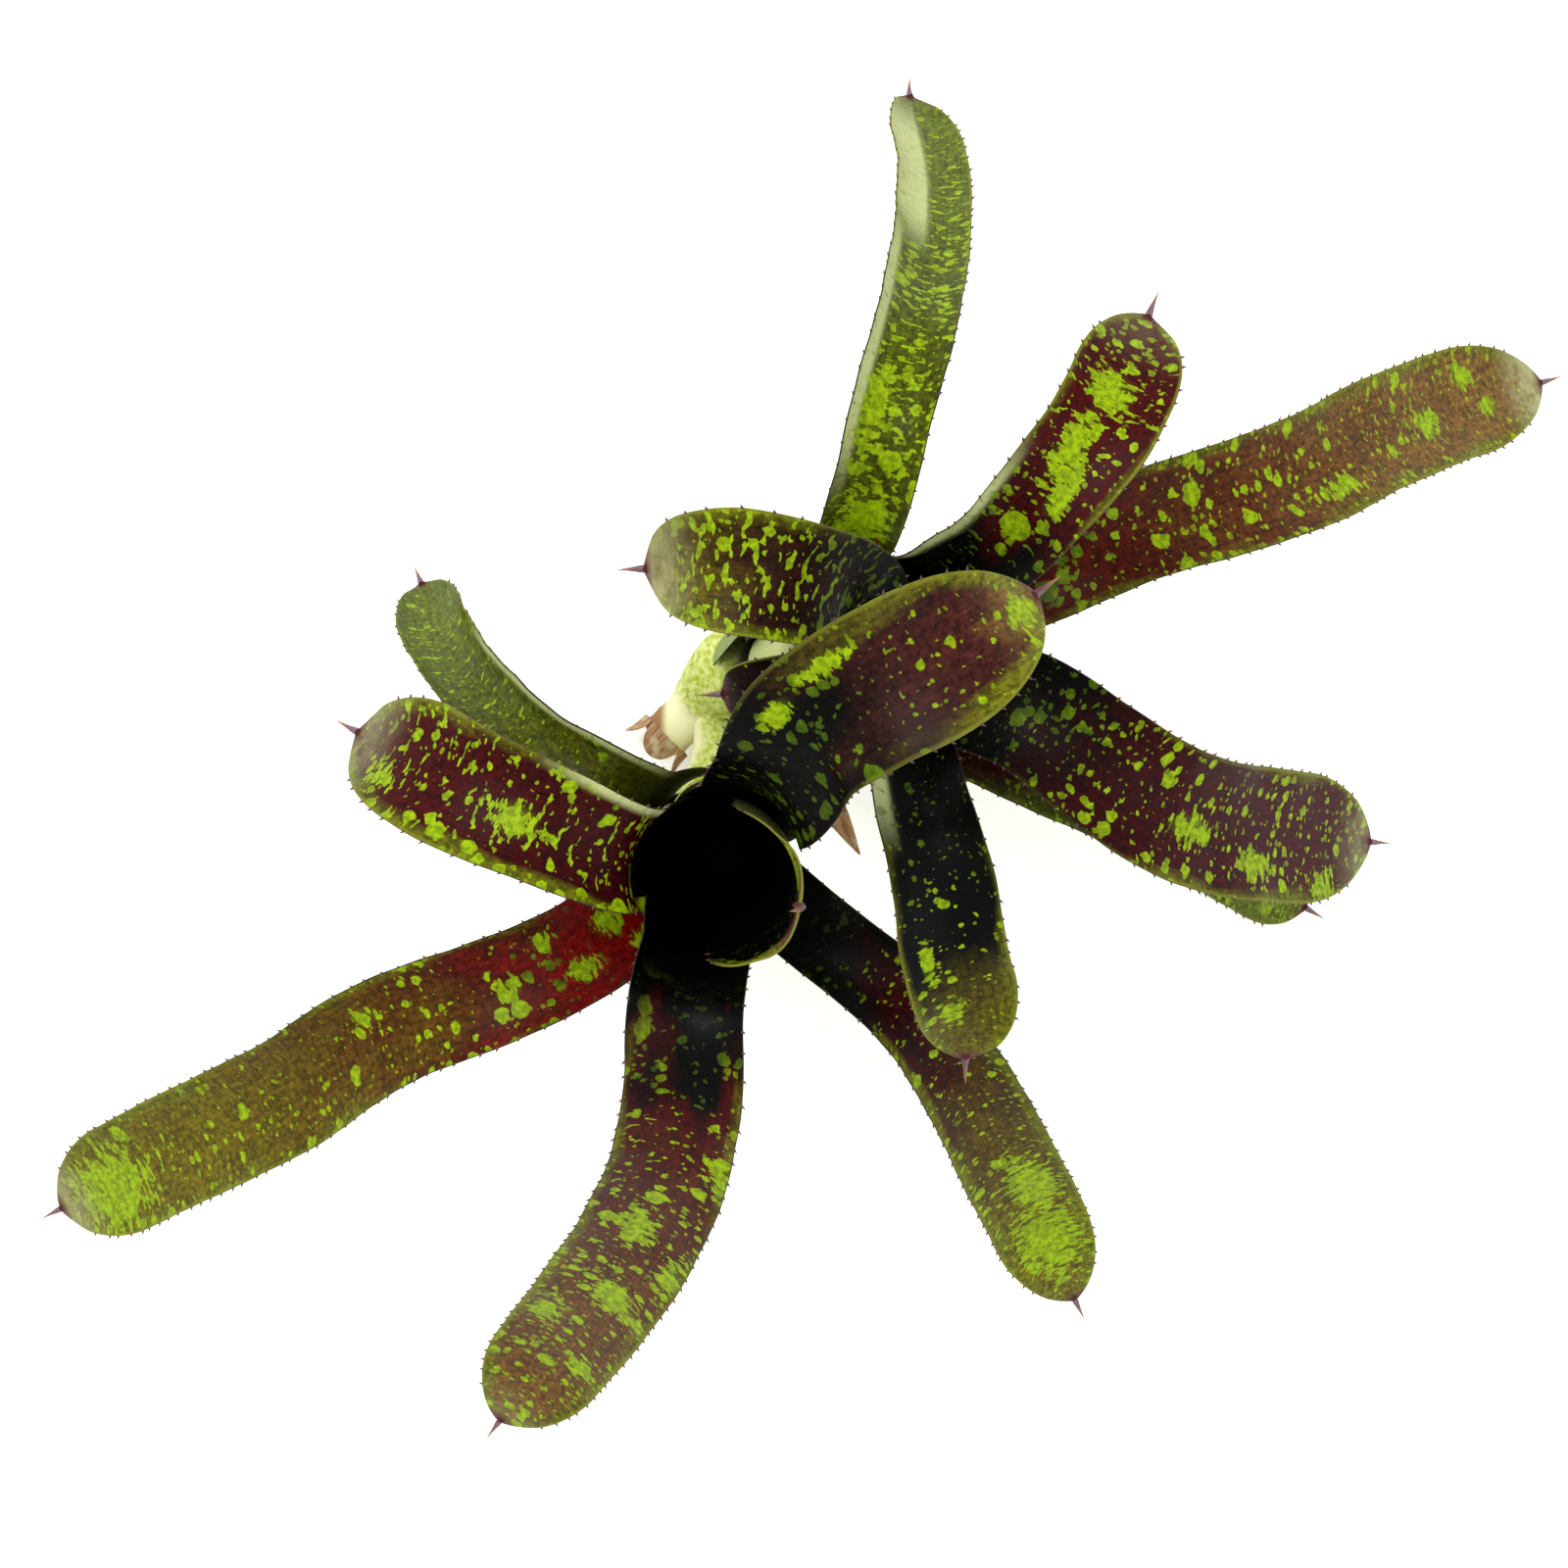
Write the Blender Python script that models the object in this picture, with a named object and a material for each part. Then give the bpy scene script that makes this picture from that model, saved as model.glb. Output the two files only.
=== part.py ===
"""A bare-root, two-headed tubular neoregelia, lying as it was lifted.

Two tubular rosettes, A and B, rise in a V from one short stolon. Each is a spiral of strap leaves.
A leaf starts as a sheath: a sector of a cone around its shoot's axis, older leaves further out. Above
its release height it leaves the tube and becomes a channelled blade that follows a hand-chosen path.
The origin is the middle of the flat spot under the stolon's cut end, which lies on the ground.
Lengths are millimetres until a mesh is made.
"""

import math

import bpy
import numpy as np

MM = 0.001

# The two shoots: each axis runs straight from the stem's collar up to the middle of the cup's mouth
SHOOTS = {
    "a": {"base": (8.0, -20.0, 15.0), "mouth": (12.0, -31.0, 95.0)},
    "b": {"base": (13.0, 10.0, 15.0), "mouth": (49.0, 12.0, 80.0)},
}

# The tube: radii grow evenly from base to mouth
CUP_RADIUS_BASE = 2.5
CUP_RADIUS_MOUTH = 15.5
LAYER_STEP_BASE = 1.0
LAYER_STEP_MOUTH = 1.30
FIRST_START = 0.04
START_STEP = 0.04
SHEATH_WRAP = math.radians(77)

# The blade
LEAF_THICKNESS = 0.62
NECK_SHARE = 0.84
WIDEST_AT = 0.72
APEX_SHARE = 2.2
APEX_SQUARENESS = 2.0
APEX_ROUNDNESS = 0.68
THORN_LENGTH = 6.0
THORN_HALF_WIDTH = 1.15
THORN_LIFT = 0.25
BLEND_LENGTH = 24.0
HEADING_LENGTH = 50.0
SHEATH_ROWS = 4
BLADE_ROWS = 9
APEX_STEPS = (0.3, 0.55, 0.75, 0.9, 0.98)
BLADE_FACETS = 6

# Marginal spines
TOOTH_LENGTH = 1.1
TOOTH_ROOT = 1.3
TOOTH_HOOK = 0.7

# The stem
STOLON_RADIUS = 5.4
COLLAR_GAP = 0.3
STEM_SIDES = 16
STEM_TOP = 0.36
FLAT_DEPTH = 0.7
STOLON_HEIGHT = STOLON_RADIUS - FLAT_DEPTH
STOLON_PATH = [(-3.5, -4.0, STOLON_HEIGHT), (2.5, 2.0, STOLON_HEIGHT), (8.0, 7.0, 7.5)]
BRANCH_PATH = [(8.5, 5.0, 7.4), (9.0, -4.0, 6.8), (8.5, -13.0, 8.0)]

# Papery scales around the stolon's cut end, each at its own angle from the top, and one dry bract
SCALE_ANGLES = {"scale_top": 5, "scale_left": 93, "scale_right": -83}
SCALE_LENGTH = 5.5
SCALE_HALF_WIDTH = 4.4
SCALE_GAP = 0.35
SCALE_START = 0.75
SCALE_FLARE = 0.8
BRACT_PATH = [(21.3, -0.3, 14.2), (28.0, -10.5, 23.0), (34.0, -20.0, 31.5), (38.0, -27.0, 37.0)]
BRACT_HALF_WIDTH = 4.6

GREEN = (0.17, 0.24, 0.05, 1.0)
OLIVE = (0.20, 0.20, 0.07, 1.0)
MAROON = (0.10, 0.02, 0.03, 1.0)
RED = (0.20, 0.03, 0.04, 1.0)
LIME = (0.42, 0.50, 0.16, 1.0)
DRY = (0.30, 0.12, 0.04, 1.0)

# Each leaf: its shoot, its layer counted from the middle of the tube, where its blade leaves the tube
# (share of the axis), the blade's midline from there on, its greatest half-width, the half-angle of
# its channel in degrees (near the tube, at the tip) and its roll in degrees (near the tube, at the tip)
LEAVES = {
    "leaf_a7_inner": {
        "shoot": "a", "layer": 0, "release": 0.80, "half_width": 20.5, "neck": 1.0, "apex": 0.6, "blend": 200.0,
        "path": [(25.0, -32.4, 88.0), (25.6, -33.4, 98.0)],
        "channel": (80, 78), "roll": (0, 0), "colour": MAROON, "facets": 8,
    },
    "leaf_a2_upper_left": {
        "shoot": "a", "layer": 1, "release": 0.82, "half_width": 11.2,
        "path": [(-4, -25, 97), (-15, -20, 105), (-28, -14.5, 104), (-40, -8.5, 96), (-51, -4, 83)],
        "channel": (42, 24), "roll": (0, 12), "colour": MAROON,
    },
    "leaf_a4_over_b": {
        "shoot": "a", "layer": 2, "release": 0.76, "half_width": 12.8,
        "path": [(22, -13, 101), (27, -5, 113), (36, 1, 119), (46, 6, 120), (56, 12, 116), (63.5, 17.5, 109)],
        "channel": (40, 16), "roll": (0, 0), "colour": MAROON,
    },
    "leaf_a5_lower": {
        "shoot": "a", "layer": 3, "release": 0.76, "half_width": 12.4,
        "path": [(6, -52, 88), (6, -63, 88), (4, -76, 80), (-3, -95, 61), (-14.5, -115, 38),
                 (-26.5, -133, 17), (-38, -149.5, 3)],
        "channel": (38, 18), "roll": (0, 0), "colour": MAROON,
    },
    "leaf_a6_lower_right": {
        "shoot": "a", "layer": 4, "release": 0.54, "half_width": 10.6, "neck": 0.78, "apex": 2.6,
        "path": [(31.5, -42, 63), (44, -52, 64), (55.5, -67, 54), (65, -84, 38), (74, -101, 21), (85.3, -123.5, 3)],
        "channel": (56, 22), "roll": (0, 0), "colour": OLIVE,
    },
    "leaf_a1_far_left": {
        "shoot": "a", "layer": 5, "release": 0.48, "half_width": 12.0, "neck": 0.84,
        "path": [(-13, -43, 63), (-31, -51, 67), (-49, -58, 61), (-72, -72.5, 46), (-98, -86, 28), (-132, -104, 3)],
        "channel": (46, 18), "roll": (0, 0), "colour": OLIVE,
    },
    "leaf_a3_behind_left": {
        "shoot": "a", "layer": 6, "release": 0.52, "half_width": 8.6, "neck": 0.85, "apex": 2.8,
        "path": [(-9, -12, 69), (-20, -6, 67), (-33, 4, 54), (-44, 15, 35), (-53, 29, 12)],
        "channel": (78, 58), "roll": (0, 10), "colour": GREEN,
    },
    "leaf_b4_left": {
        "shoot": "b", "layer": 0, "release": 0.82, "half_width": 10.4,
        "path": [(35, 18, 95), (28, 19, 107), (18, 20.5, 112), (9, 21.5, 110), (0, 22.5, 100)],
        "channel": (45, 20), "roll": (0, -14), "colour": OLIVE,
    },
    "leaf_b9_small": {
        "shoot": "b", "layer": 1, "release": 0.74, "half_width": 6.8,
        "path": [(29, 4, 78), (22, 3, 82), (16, 3, 80), (12, 3, 75)],
        "channel": (50, 30), "roll": (0, 0), "colour": MAROON,
    },
    "leaf_b2_upper_right": {
        "shoot": "b", "layer": 2, "release": 0.80, "half_width": 9.6,
        "path": [(58, 26, 86), (66, 34, 96), (74, 44, 99), (80, 55, 95), (86, 68, 84)],
        "channel": (50, 24), "roll": (0, 0), "colour": RED,
    },
    "leaf_b6_lower": {
        "shoot": "b", "layer": 3, "release": 0.76, "half_width": 10.0,
        "path": [(45, -9, 78), (47, -18, 86), (50, -30, 88), (52.2, -42, 84), (55.4, -54, 75), (56.0, -63, 66)],
        "channel": (56, 30), "roll": (0, 0), "colour": MAROON,
    },
    "leaf_b5_right_lower": {
        "shoot": "b", "layer": 4, "release": 0.66, "half_width": 13.2,
        "path": [(67, 0, 66), (78, -8, 69), (90, -16, 66), (104, -21, 55), (119, -23, 41), (144.5, -25, 17)],
        "channel": (36, 16), "roll": (0, 0), "colour": MAROON,
    },
    "leaf_b1_top": {
        "shoot": "b", "layer": 5, "release": 0.56, "half_width": 8.8, "neck": 0.94, "apex": 3.0,
        "path": [(38, 38, 69), (41, 50, 74), (45.2, 66, 69), (49.4, 85, 52), (51.8, 107, 31), (49.8, 134, 4)],
        "channel": (52, 50), "roll": (0, 20), "colour": OLIVE,
    },
    "leaf_b3_far_right": {
        "shoot": "b", "layer": 6, "release": 0.56, "half_width": 11.8, "apex": 2.5,
        "path": [(66, 24, 62), (86, 33, 65), (104, 39, 61), (121, 45.5, 51), (139, 55, 37), (159, 64, 21), (185.3, 73, 3)],
        "channel": (44, 18), "roll": (0, 0), "colour": MAROON,
    },
    "leaf_b7_under_right": {
        "shoot": "b", "layer": 7, "release": 0.50, "half_width": 9.0,
        "path": [(58, -5, 51), (74, -11.5, 49), (98, -21, 36), (117, -30, 20), (134.5, -39.5, 4)],
        "channel": (46, 20), "roll": (0, 0), "colour": GREEN,
    },
}


def unit(vectors):
    return vectors / np.linalg.norm(vectors, axis=-1, keepdims=True)


def axis_point(shoot, share):
    base = np.array(SHOOTS[shoot]["base"])
    mouth = np.array(SHOOTS[shoot]["mouth"])
    return base + np.multiply.outer(share, mouth - base)


def axis_direction(shoot):
    return unit(axis_point(shoot, 1.0) - axis_point(shoot, 0.0))


def layer_radius(layer, share):
    """Radius of a leaf's middle surface around the shoot's axis."""
    inner = CUP_RADIUS_BASE + (CUP_RADIUS_MOUTH - CUP_RADIUS_BASE) * share
    step = LAYER_STEP_BASE + (LAYER_STEP_MOUTH - LAYER_STEP_BASE) * share
    return inner + (layer + 0.5) * step


def layers_of(shoot):
    return sum(leaf["shoot"] == shoot for leaf in LEAVES.values())


def start_share(leaf):
    """Where the leaf grows from the stem: the outermost leaf lowest."""
    return FIRST_START + START_STEP * (layers_of(leaf["shoot"]) - 1 - leaf["layer"])


def apex_length(leaf):
    """How far back from the thorn the blade starts to round off."""
    return leaf.get("apex", APEX_SHARE) * leaf["half_width"]


def smooth_path(points, shares):
    """Places on the smooth curve through the points, at shares of its length."""
    points = np.asarray(points, float)
    knots = np.concatenate([[0.0], np.cumsum(np.linalg.norm(np.diff(points, axis=0), axis=1))])
    slopes = np.gradient(points, knots, axis=0)
    fine = np.linspace(0.0, knots[-1], 400)
    left = np.clip(np.searchsorted(knots, fine, side="right") - 1, 0, len(knots) - 2)
    span = knots[left + 1] - knots[left]
    u = ((fine - knots[left]) / span)[:, None]
    span = span[:, None]
    curve = (
        (2 * u**3 - 3 * u**2 + 1) * points[left]
        + (u**3 - 2 * u**2 + u) * span * slopes[left]
        + (3 * u**2 - 2 * u**3) * points[left + 1]
        + (u**3 - u**2) * span * slopes[left + 1]
    )
    run = np.concatenate([[0.0], np.cumsum(np.linalg.norm(np.diff(curve, axis=0), axis=1))])
    at = np.asarray(shares) * run[-1]
    return np.stack([np.interp(at, run, curve[:, k]) for k in range(3)], axis=1), at


def ease(x):
    x = np.clip(x, 0.0, 1.0)
    return x * x * (3.0 - 2.0 * x)


def leaf_spine(leaf):
    """The sheath's straight start and the blade's curve: places, travel past the release and its length."""
    shoot = leaf["shoot"]
    axis = axis_direction(shoot)
    first = np.array(leaf["path"][0], float)
    release = axis_point(shoot, leaf["release"])
    outward = first - release
    outward = unit(outward - axis * (outward @ axis))
    shares = np.linspace(start_share(leaf), leaf["release"], SHEATH_ROWS)
    radii = layer_radius(leaf["layer"], shares)
    sheath = axis_point(shoot, shares) + radii[:, None] * outward
    path = np.vstack([sheath[-2:], leaf["path"]])
    _, total = smooth_path(path, [1.0])
    before = np.linalg.norm(sheath[-1] - sheath[-2])
    length = total[-1] - before
    apex = apex_length(leaf)
    rows = np.linspace(0.0, length - apex, BLADE_ROWS + 1)[1:]
    rows = np.concatenate([rows, length - apex * (1.0 - np.array(APEX_STEPS))])
    blade, _ = smooth_path(path, (before + rows) / total[-1])
    spine = np.vstack([sheath, blade])
    travel = np.concatenate([np.linspace(-1.0, 0.0, SHEATH_ROWS), rows])
    return spine, travel, length, outward, radii


def leaf_sections(leaf):
    """Rows of cross-section: middle, left and upward directions, half-width and channel half-angle."""
    spine, travel, length, outward, radii = leaf_spine(leaf)
    axis = axis_direction(leaf["shoot"])
    tied = 1.0 - ease(travel / leaf.get("blend", BLEND_LENGTH))
    tied[:SHEATH_ROWS] = 1.0
    along = unit(np.gradient(spine, axis=0))
    along = unit(along * (1.0 - tied[:, None]) + axis * tied[:, None])
    away = unit((spine - axis_point(leaf["shoot"], leaf["release"]))[:, :2])
    far = ease(travel / HEADING_LENGTH)[:, None]
    heading = unit(away * (1.0 - far) + unit(along[:, :2]) * far)
    level = np.stack([-heading[:, 1], heading[:, 0], np.zeros(len(along))], axis=1)
    side = np.cross(-outward, axis)
    left = level * (1.0 - tied[:, None]) + side * tied[:, None]
    left = unit(left - along * np.sum(left * along, axis=1, keepdims=True))
    up = np.cross(along, left)
    share = np.clip(travel / length, 0.0, 1.0)
    roll = np.radians(np.interp(share, [0.0, 1.0], leaf["roll"]))[:, None]
    left, up = left * np.cos(roll) + up * np.sin(roll), up * np.cos(roll) - left * np.sin(roll)

    widest = leaf["half_width"]
    neck = widest * leaf.get("neck", NECK_SHARE)
    half = neck + (widest - neck) * ease(share / WIDEST_AT)
    apex = apex_length(leaf)
    past = np.clip((travel - (length - apex)) / apex, 0.0, 1.0)
    half = np.maximum(half * (1.0 - past**APEX_SQUARENESS) ** APEX_ROUNDNESS, THORN_HALF_WIDTH)
    wrap = np.linspace(SHEATH_WRAP, neck / radii[-1], SHEATH_ROWS)
    half[:SHEATH_ROWS] = wrap * radii
    channel = np.radians(np.interp(share, [0.0, 1.0], leaf["channel"]))
    channel = channel * (1.0 - tied) + half / radii[-1] * tied
    channel[:SHEATH_ROWS] = wrap
    narrowing = half / np.maximum(half, widest * 0.6)
    channel = channel * np.where(past > 0.0, narrowing, 1.0)
    return spine, left, up, along, half, channel


def middle_grid(sections, facets):
    """The middle surface, rows by columns, and the way its upper face looks."""
    spine, left, up, along, half, channel = sections
    across = np.linspace(-1.0, 1.0, facets + 1)
    angle = channel[:, None] * across
    bend = (half / channel)[:, None]
    sideways = (bend * np.sin(angle))[..., None]
    raised = (bend * (1.0 - np.cos(angle)))[..., None]
    middle = spine[:, None] + left[:, None] * sideways + up[:, None] * raised
    facing = up[:, None] * np.cos(angle)[..., None] - left[:, None] * np.sin(angle)[..., None]
    return middle, facing, along, up


def blade_mesh(sections, facets, first_tooth, thorn):
    """Points and triangles of a closed blade of even thickness, spined from one row on, ending in a thorn."""
    middle, facing, along, up = middle_grid(sections, facets)
    rows, columns = middle.shape[:2]
    half = LEAF_THICKNESS / 2.0
    points = list((middle + facing * half).reshape(-1, 3)) + list((middle - facing * half).reshape(-1, 3))
    faces = []

    def corner(face, row, column):
        return face * rows * columns + row * columns + column

    def add(face, *triangle):
        faces.append(triangle[::-1] if face == 0 else triangle)

    for row in range(rows - 1):
        for column in range(columns - 1):
            margin = column == 0 or column == columns - 2
            toothed = margin and first_tooth <= row < rows - 2
            if column == 0 and toothed:
                add_toothed_cell(points, faces, corner, row, 0, 1, along, middle, add)
            elif toothed:
                add_toothed_cell(points, faces, corner, row, columns - 1, columns - 2, along, middle, add)
            else:
                add_plain_cell(corner, row, column, columns, add, faces)
    close_base(corner, columns, faces)
    add_thorn(points, faces, corner, rows, columns, along, up, thorn)
    return np.array(points), faces


def add_plain_cell(corner, row, column, columns, add, faces):
    inner_first = column == columns - 2
    for face in (0, 1):
        a, b = corner(face, row, column), corner(face, row, column + 1)
        c, d = corner(face, row + 1, column + 1), corner(face, row + 1, column)
        if inner_first:
            add(face, a, b, c)
            add(face, a, c, d)
        else:
            add(face, a, b, d)
            add(face, b, c, d)
    if column == 0:
        close_margin(corner, row, 0, faces, -1)
    if column == columns - 2:
        close_margin(corner, row, columns - 1, faces, 1)


def close_margin(corner, row, column, faces, turn):
    a, b = corner(0, row, column), corner(0, row + 1, column)
    c, d = corner(1, row + 1, column), corner(1, row, column)
    faces.extend([(a, b, c)[::turn], (a, c, d)[::turn]])


def add_toothed_cell(points, faces, corner, row, rim, inner, along, middle, add):
    """One cell at the margin with a hooked spine standing on its edge."""
    turn = 1 if rim == 0 else -1
    roots = []
    for face in (0, 1):
        start, stop = points[corner(face, row, rim)], points[corner(face, row + 1, rim)]
        root = TOOTH_ROOT / np.linalg.norm(stop - start) / 2.0
        first = len(points)
        points.append(start + (stop - start) * (0.5 - root))
        points.append(start + (stop - start) * (0.5 + root))
        roots.append((first, first + 1))
        a, b = corner(face, row, rim), corner(face, row + 1, rim)
        c, d = corner(face, row + 1, inner), corner(face, row, inner)
        fan = [(a, d, first), (first, d, first + 1), (first + 1, d, b), (b, d, c)]
        for triangle in fan:
            add(face, *triangle[::turn])
    outward = unit(middle[row, rim] - middle[row, inner])
    centre = (points[roots[0][0]] + points[roots[1][1]]) / 2.0
    tip = len(points)
    points.append(centre + outward * TOOTH_LENGTH + along[row] * TOOTH_HOOK)
    a, b = corner(0, row, rim), corner(0, row + 1, rim)
    c, d = corner(1, row + 1, rim), corner(1, row, rim)
    (p, q), (s, r) = roots
    rim_faces = [
        (a, p, s), (a, s, d), (q, b, c), (q, c, r),
        (p, q, tip), (q, r, tip), (r, s, tip), (s, p, tip),
    ]
    faces.extend(triangle[::-turn] for triangle in rim_faces)


def close_base(corner, columns, faces):
    for column in range(columns - 1):
        a, b = corner(0, 0, column), corner(0, 0, column + 1)
        c, d = corner(1, 0, column + 1), corner(1, 0, column)
        faces.extend([(a, b, c), (a, c, d)])


def add_thorn(points, faces, corner, rows, columns, along, up, thorn):
    """The end thorn: the last section's outline drawn to a point that lifts a little."""
    loop = [corner(0, rows - 1, column) for column in range(columns)]
    loop += [corner(1, rows - 1, column) for column in reversed(range(columns))]
    centre = np.mean([points[index] for index in loop], axis=0)
    reach = along[-1] * thorn
    middle = [centre + (points[index] - centre) * 0.5 + reach * 0.45 for index in loop]
    first = len(points)
    points.extend(middle)
    ring = list(range(first, first + len(loop)))
    tip = len(points)
    points.append(centre + reach + up[-1] * THORN_LIFT * thorn)
    for index, start in enumerate(loop):
        following = (index + 1) % len(loop)
        faces.append((start, ring[following], loop[following]))
        faces.append((start, ring[index], ring[following]))
        faces.append((ring[index], tip, ring[following]))


def make_material(name, colour, roughness):
    material = bpy.data.materials.new(name)
    material.use_nodes = True
    shader = material.node_tree.nodes["Principled BSDF"]
    shader.inputs["Base Color"].default_value = colour
    shader.inputs["Roughness"].default_value = roughness
    shader.inputs["Metallic"].default_value = 0.0
    return material


def make_object(name, points, faces, colour, roughness):
    mesh = bpy.data.meshes.new(name)
    mesh.from_pydata([tuple(point) for point in np.asarray(points) * MM], [], [tuple(f) for f in faces])
    mesh.materials.append(make_material(name, colour, roughness))
    mesh.shade_smooth()
    mesh.set_sharp_from_angle(angle=math.radians(50))
    made = bpy.data.objects.new(name, mesh)
    bpy.context.scene.collection.objects.link(made)
    return made


def tube(path, radii, sides):
    """Points and faces of a closed round tube along a path, with flat ends."""
    path = np.asarray(path, float)
    along = unit(np.gradient(path, axis=0))
    side = unit(np.cross(along, (0.0, 0.35, 1.0)))
    top = np.cross(side, along)
    angle = np.arange(sides) * 2.0 * math.pi / sides
    ring = side[:, None] * np.cos(angle)[:, None] + top[:, None] * np.sin(angle)[:, None]
    points = (path[:, None] + ring * np.asarray(radii)[:, None, None]).reshape(-1, 3)
    faces = [tuple(range(sides)), tuple(reversed(range(len(points) - sides, len(points))))]
    for row in range(len(path) - 1):
        for k in range(sides):
            n = (k + 1) % sides
            low, high = row * sides, (row + 1) * sides
            faces.append((low + k, high + k, high + n, low + n))
    return points, faces


def core_radius(shoot, share):
    """The stem just inside the foot of each leaf, where that leaf starts."""
    outermost = layers_of(shoot) - 1
    lowest = layer_radius(outermost, FIRST_START)
    top_start = FIRST_START + START_STEP * outermost
    highest = layer_radius(0, top_start)
    radius = np.interp(share, [FIRST_START, top_start], [lowest, highest])
    return radius - LEAF_THICKNESS / 2.0 - COLLAR_GAP


def stem_tube(shoot, lead):
    """A run of stolon that turns up into the shoot's short conical stem."""
    shares = np.linspace(0.0, STEM_TOP - 0.02, 6)
    cone = axis_point(shoot, shares)
    radii = core_radius(shoot, shares)
    radii[-1] *= 0.6
    path = np.vstack([lead, cone])
    swelling = [STOLON_RADIUS, STOLON_RADIUS, radii[0] * 0.8]
    return path, np.concatenate([swelling, radii])


def join(target, other):
    """Fuses the other solid into the target and removes it."""
    union = target.modifiers.new("union", "BOOLEAN")
    union.operation = "UNION"
    union.object = other
    bpy.context.view_layer.objects.active = target
    with bpy.context.temp_override(object=target, active_object=target):
        bpy.ops.object.modifier_apply(modifier=union.name)
    bpy.data.objects.remove(other)


def make_stem():
    path, radii = stem_tube("b", STOLON_PATH)
    stem = make_object("stem", *tube(path, radii, STEM_SIDES), LIME, 0.6)
    path, radii = stem_tube("a", BRANCH_PATH)
    join(stem, make_object("branch", *tube(path, radii, STEM_SIDES), LIME, 0.6))
    for vertex in stem.data.vertices:
        vertex.co.z = max(vertex.co.z, 0.0)


def make_scales():
    """Short pointed scales that hug the stolon's cut end."""
    start, stop = np.array(STOLON_PATH[1]), np.array(STOLON_PATH[0])
    along = unit(stop - start)
    start = start + (stop - start) * SCALE_START
    level = unit(np.array([-along[1], along[0], 0.0]))
    top = np.cross(along, level)
    shares = np.array([0.0, 0.35, 0.7, 0.9, 1.0])
    half = SCALE_HALF_WIDTH * np.sqrt(1.0 - shares**2 * 0.99)
    for name, degrees in SCALE_ANGLES.items():
        turn = math.radians(degrees)
        outward = top * math.cos(turn) + level * math.sin(turn)
        radius = STOLON_RADIUS + SCALE_GAP + LEAF_THICKNESS / 2.0
        reach = radius + SCALE_FLARE * shares**2
        spine = start + along * (SCALE_LENGTH * shares)[:, None] + outward * reach[:, None]
        left = np.tile(np.cross(-outward, along), (len(shares), 1))
        up = np.tile(-outward, (len(shares), 1))
        sections = (spine, left, up, np.tile(along, (len(shares), 1)), half, half / radius)
        make_object(name, *blade_mesh(sections, 4, len(shares), 1.0), DRY, 0.8)


def make_bract():
    """A dry, pointed bract that stands out from the stem between the two shoots."""
    shares = np.linspace(0.0, 0.985, 8)
    spine, _ = smooth_path(BRACT_PATH, shares)
    along = unit(np.gradient(spine, axis=0))
    left = unit(np.stack([-along[:, 1], along[:, 0], np.zeros(len(along))], axis=1))
    up = np.cross(along, left)
    half = BRACT_HALF_WIDTH * (1.0 - shares**2.5)
    sections = (spine, left, up, along, half, np.full(len(shares), 0.7))
    make_object("dry_bract", *blade_mesh(sections, 4, len(shares), 2.0), DRY, 0.8)


def clear_scene():
    for old in list(bpy.data.objects):
        bpy.data.objects.remove(old)


def main():
    clear_scene()
    make_stem()
    make_scales()
    make_bract()
    for name, leaf in LEAVES.items():
        facets = leaf.get("facets", BLADE_FACETS)
        points, faces = blade_mesh(leaf_sections(leaf), facets, SHEATH_ROWS - 1, THORN_LENGTH)
        make_object(name, points, faces, leaf["colour"], 0.35)


main()
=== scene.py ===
# %% [markdown]
# A bare-root, two-headed tubular neoregelia, dressed for a close look.
# The real plant is a spiral of strap leaves around each of two short stems. Every leaf begins as a sheath
# that wraps its neighbours into a tube, and ends as an arching, channelled blade with a thorn.
# The solids of the model are already in place, so this script only replaces each plain leaf by a finer one
# of the same form and gives every surface its finish. All lengths below are millimetres until a mesh is made.

# %% Load the frame
import math
import bpy
import numpy as np
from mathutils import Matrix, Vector


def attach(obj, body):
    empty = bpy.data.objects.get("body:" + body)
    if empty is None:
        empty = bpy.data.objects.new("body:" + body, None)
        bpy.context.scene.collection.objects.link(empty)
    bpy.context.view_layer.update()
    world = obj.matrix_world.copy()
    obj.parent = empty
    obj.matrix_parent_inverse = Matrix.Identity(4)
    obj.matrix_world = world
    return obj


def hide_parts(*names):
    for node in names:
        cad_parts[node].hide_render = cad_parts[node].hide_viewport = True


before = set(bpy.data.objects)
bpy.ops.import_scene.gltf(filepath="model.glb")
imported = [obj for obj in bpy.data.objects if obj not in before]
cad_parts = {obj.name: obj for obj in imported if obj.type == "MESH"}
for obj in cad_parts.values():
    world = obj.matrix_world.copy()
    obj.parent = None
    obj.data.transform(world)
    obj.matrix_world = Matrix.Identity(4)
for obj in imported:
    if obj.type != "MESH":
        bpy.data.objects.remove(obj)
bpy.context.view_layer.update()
MM = 0.001

# %% [markdown]
# The two tubes. Each shoot's axis is a straight line from its collar to the middle of the cup's mouth, and
# the leaves lie around it like the skins of a leek: older leaves further out. The same few numbers that
# place the solids place the fine leaves, so nothing has to be fitted by eye.

# %% The shoots
SHOOTS = {
    "a": {"base": (8.0, -20.0, 15.0), "mouth": (12.0, -31.0, 95.0)},
    "b": {"base": (13.0, 10.0, 15.0), "mouth": (49.0, 12.0, 80.0)},
}
CUP_RADIUS = (2.5, 15.5)
LAYER_STEP = (1.0, 1.30)
FIRST_START = 0.04
START_STEP = 0.04
SHEATH_WRAP = math.radians(77)
LEAF_THICKNESS = 0.62
WIDEST_AT = 0.72
APEX_SQUARENESS = 2.0
APEX_ROUNDNESS = 0.68
THORN_HALF_WIDTH = 1.15
HEADING_LENGTH = 50.0
STOLON_RADIUS = 5.4

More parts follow.
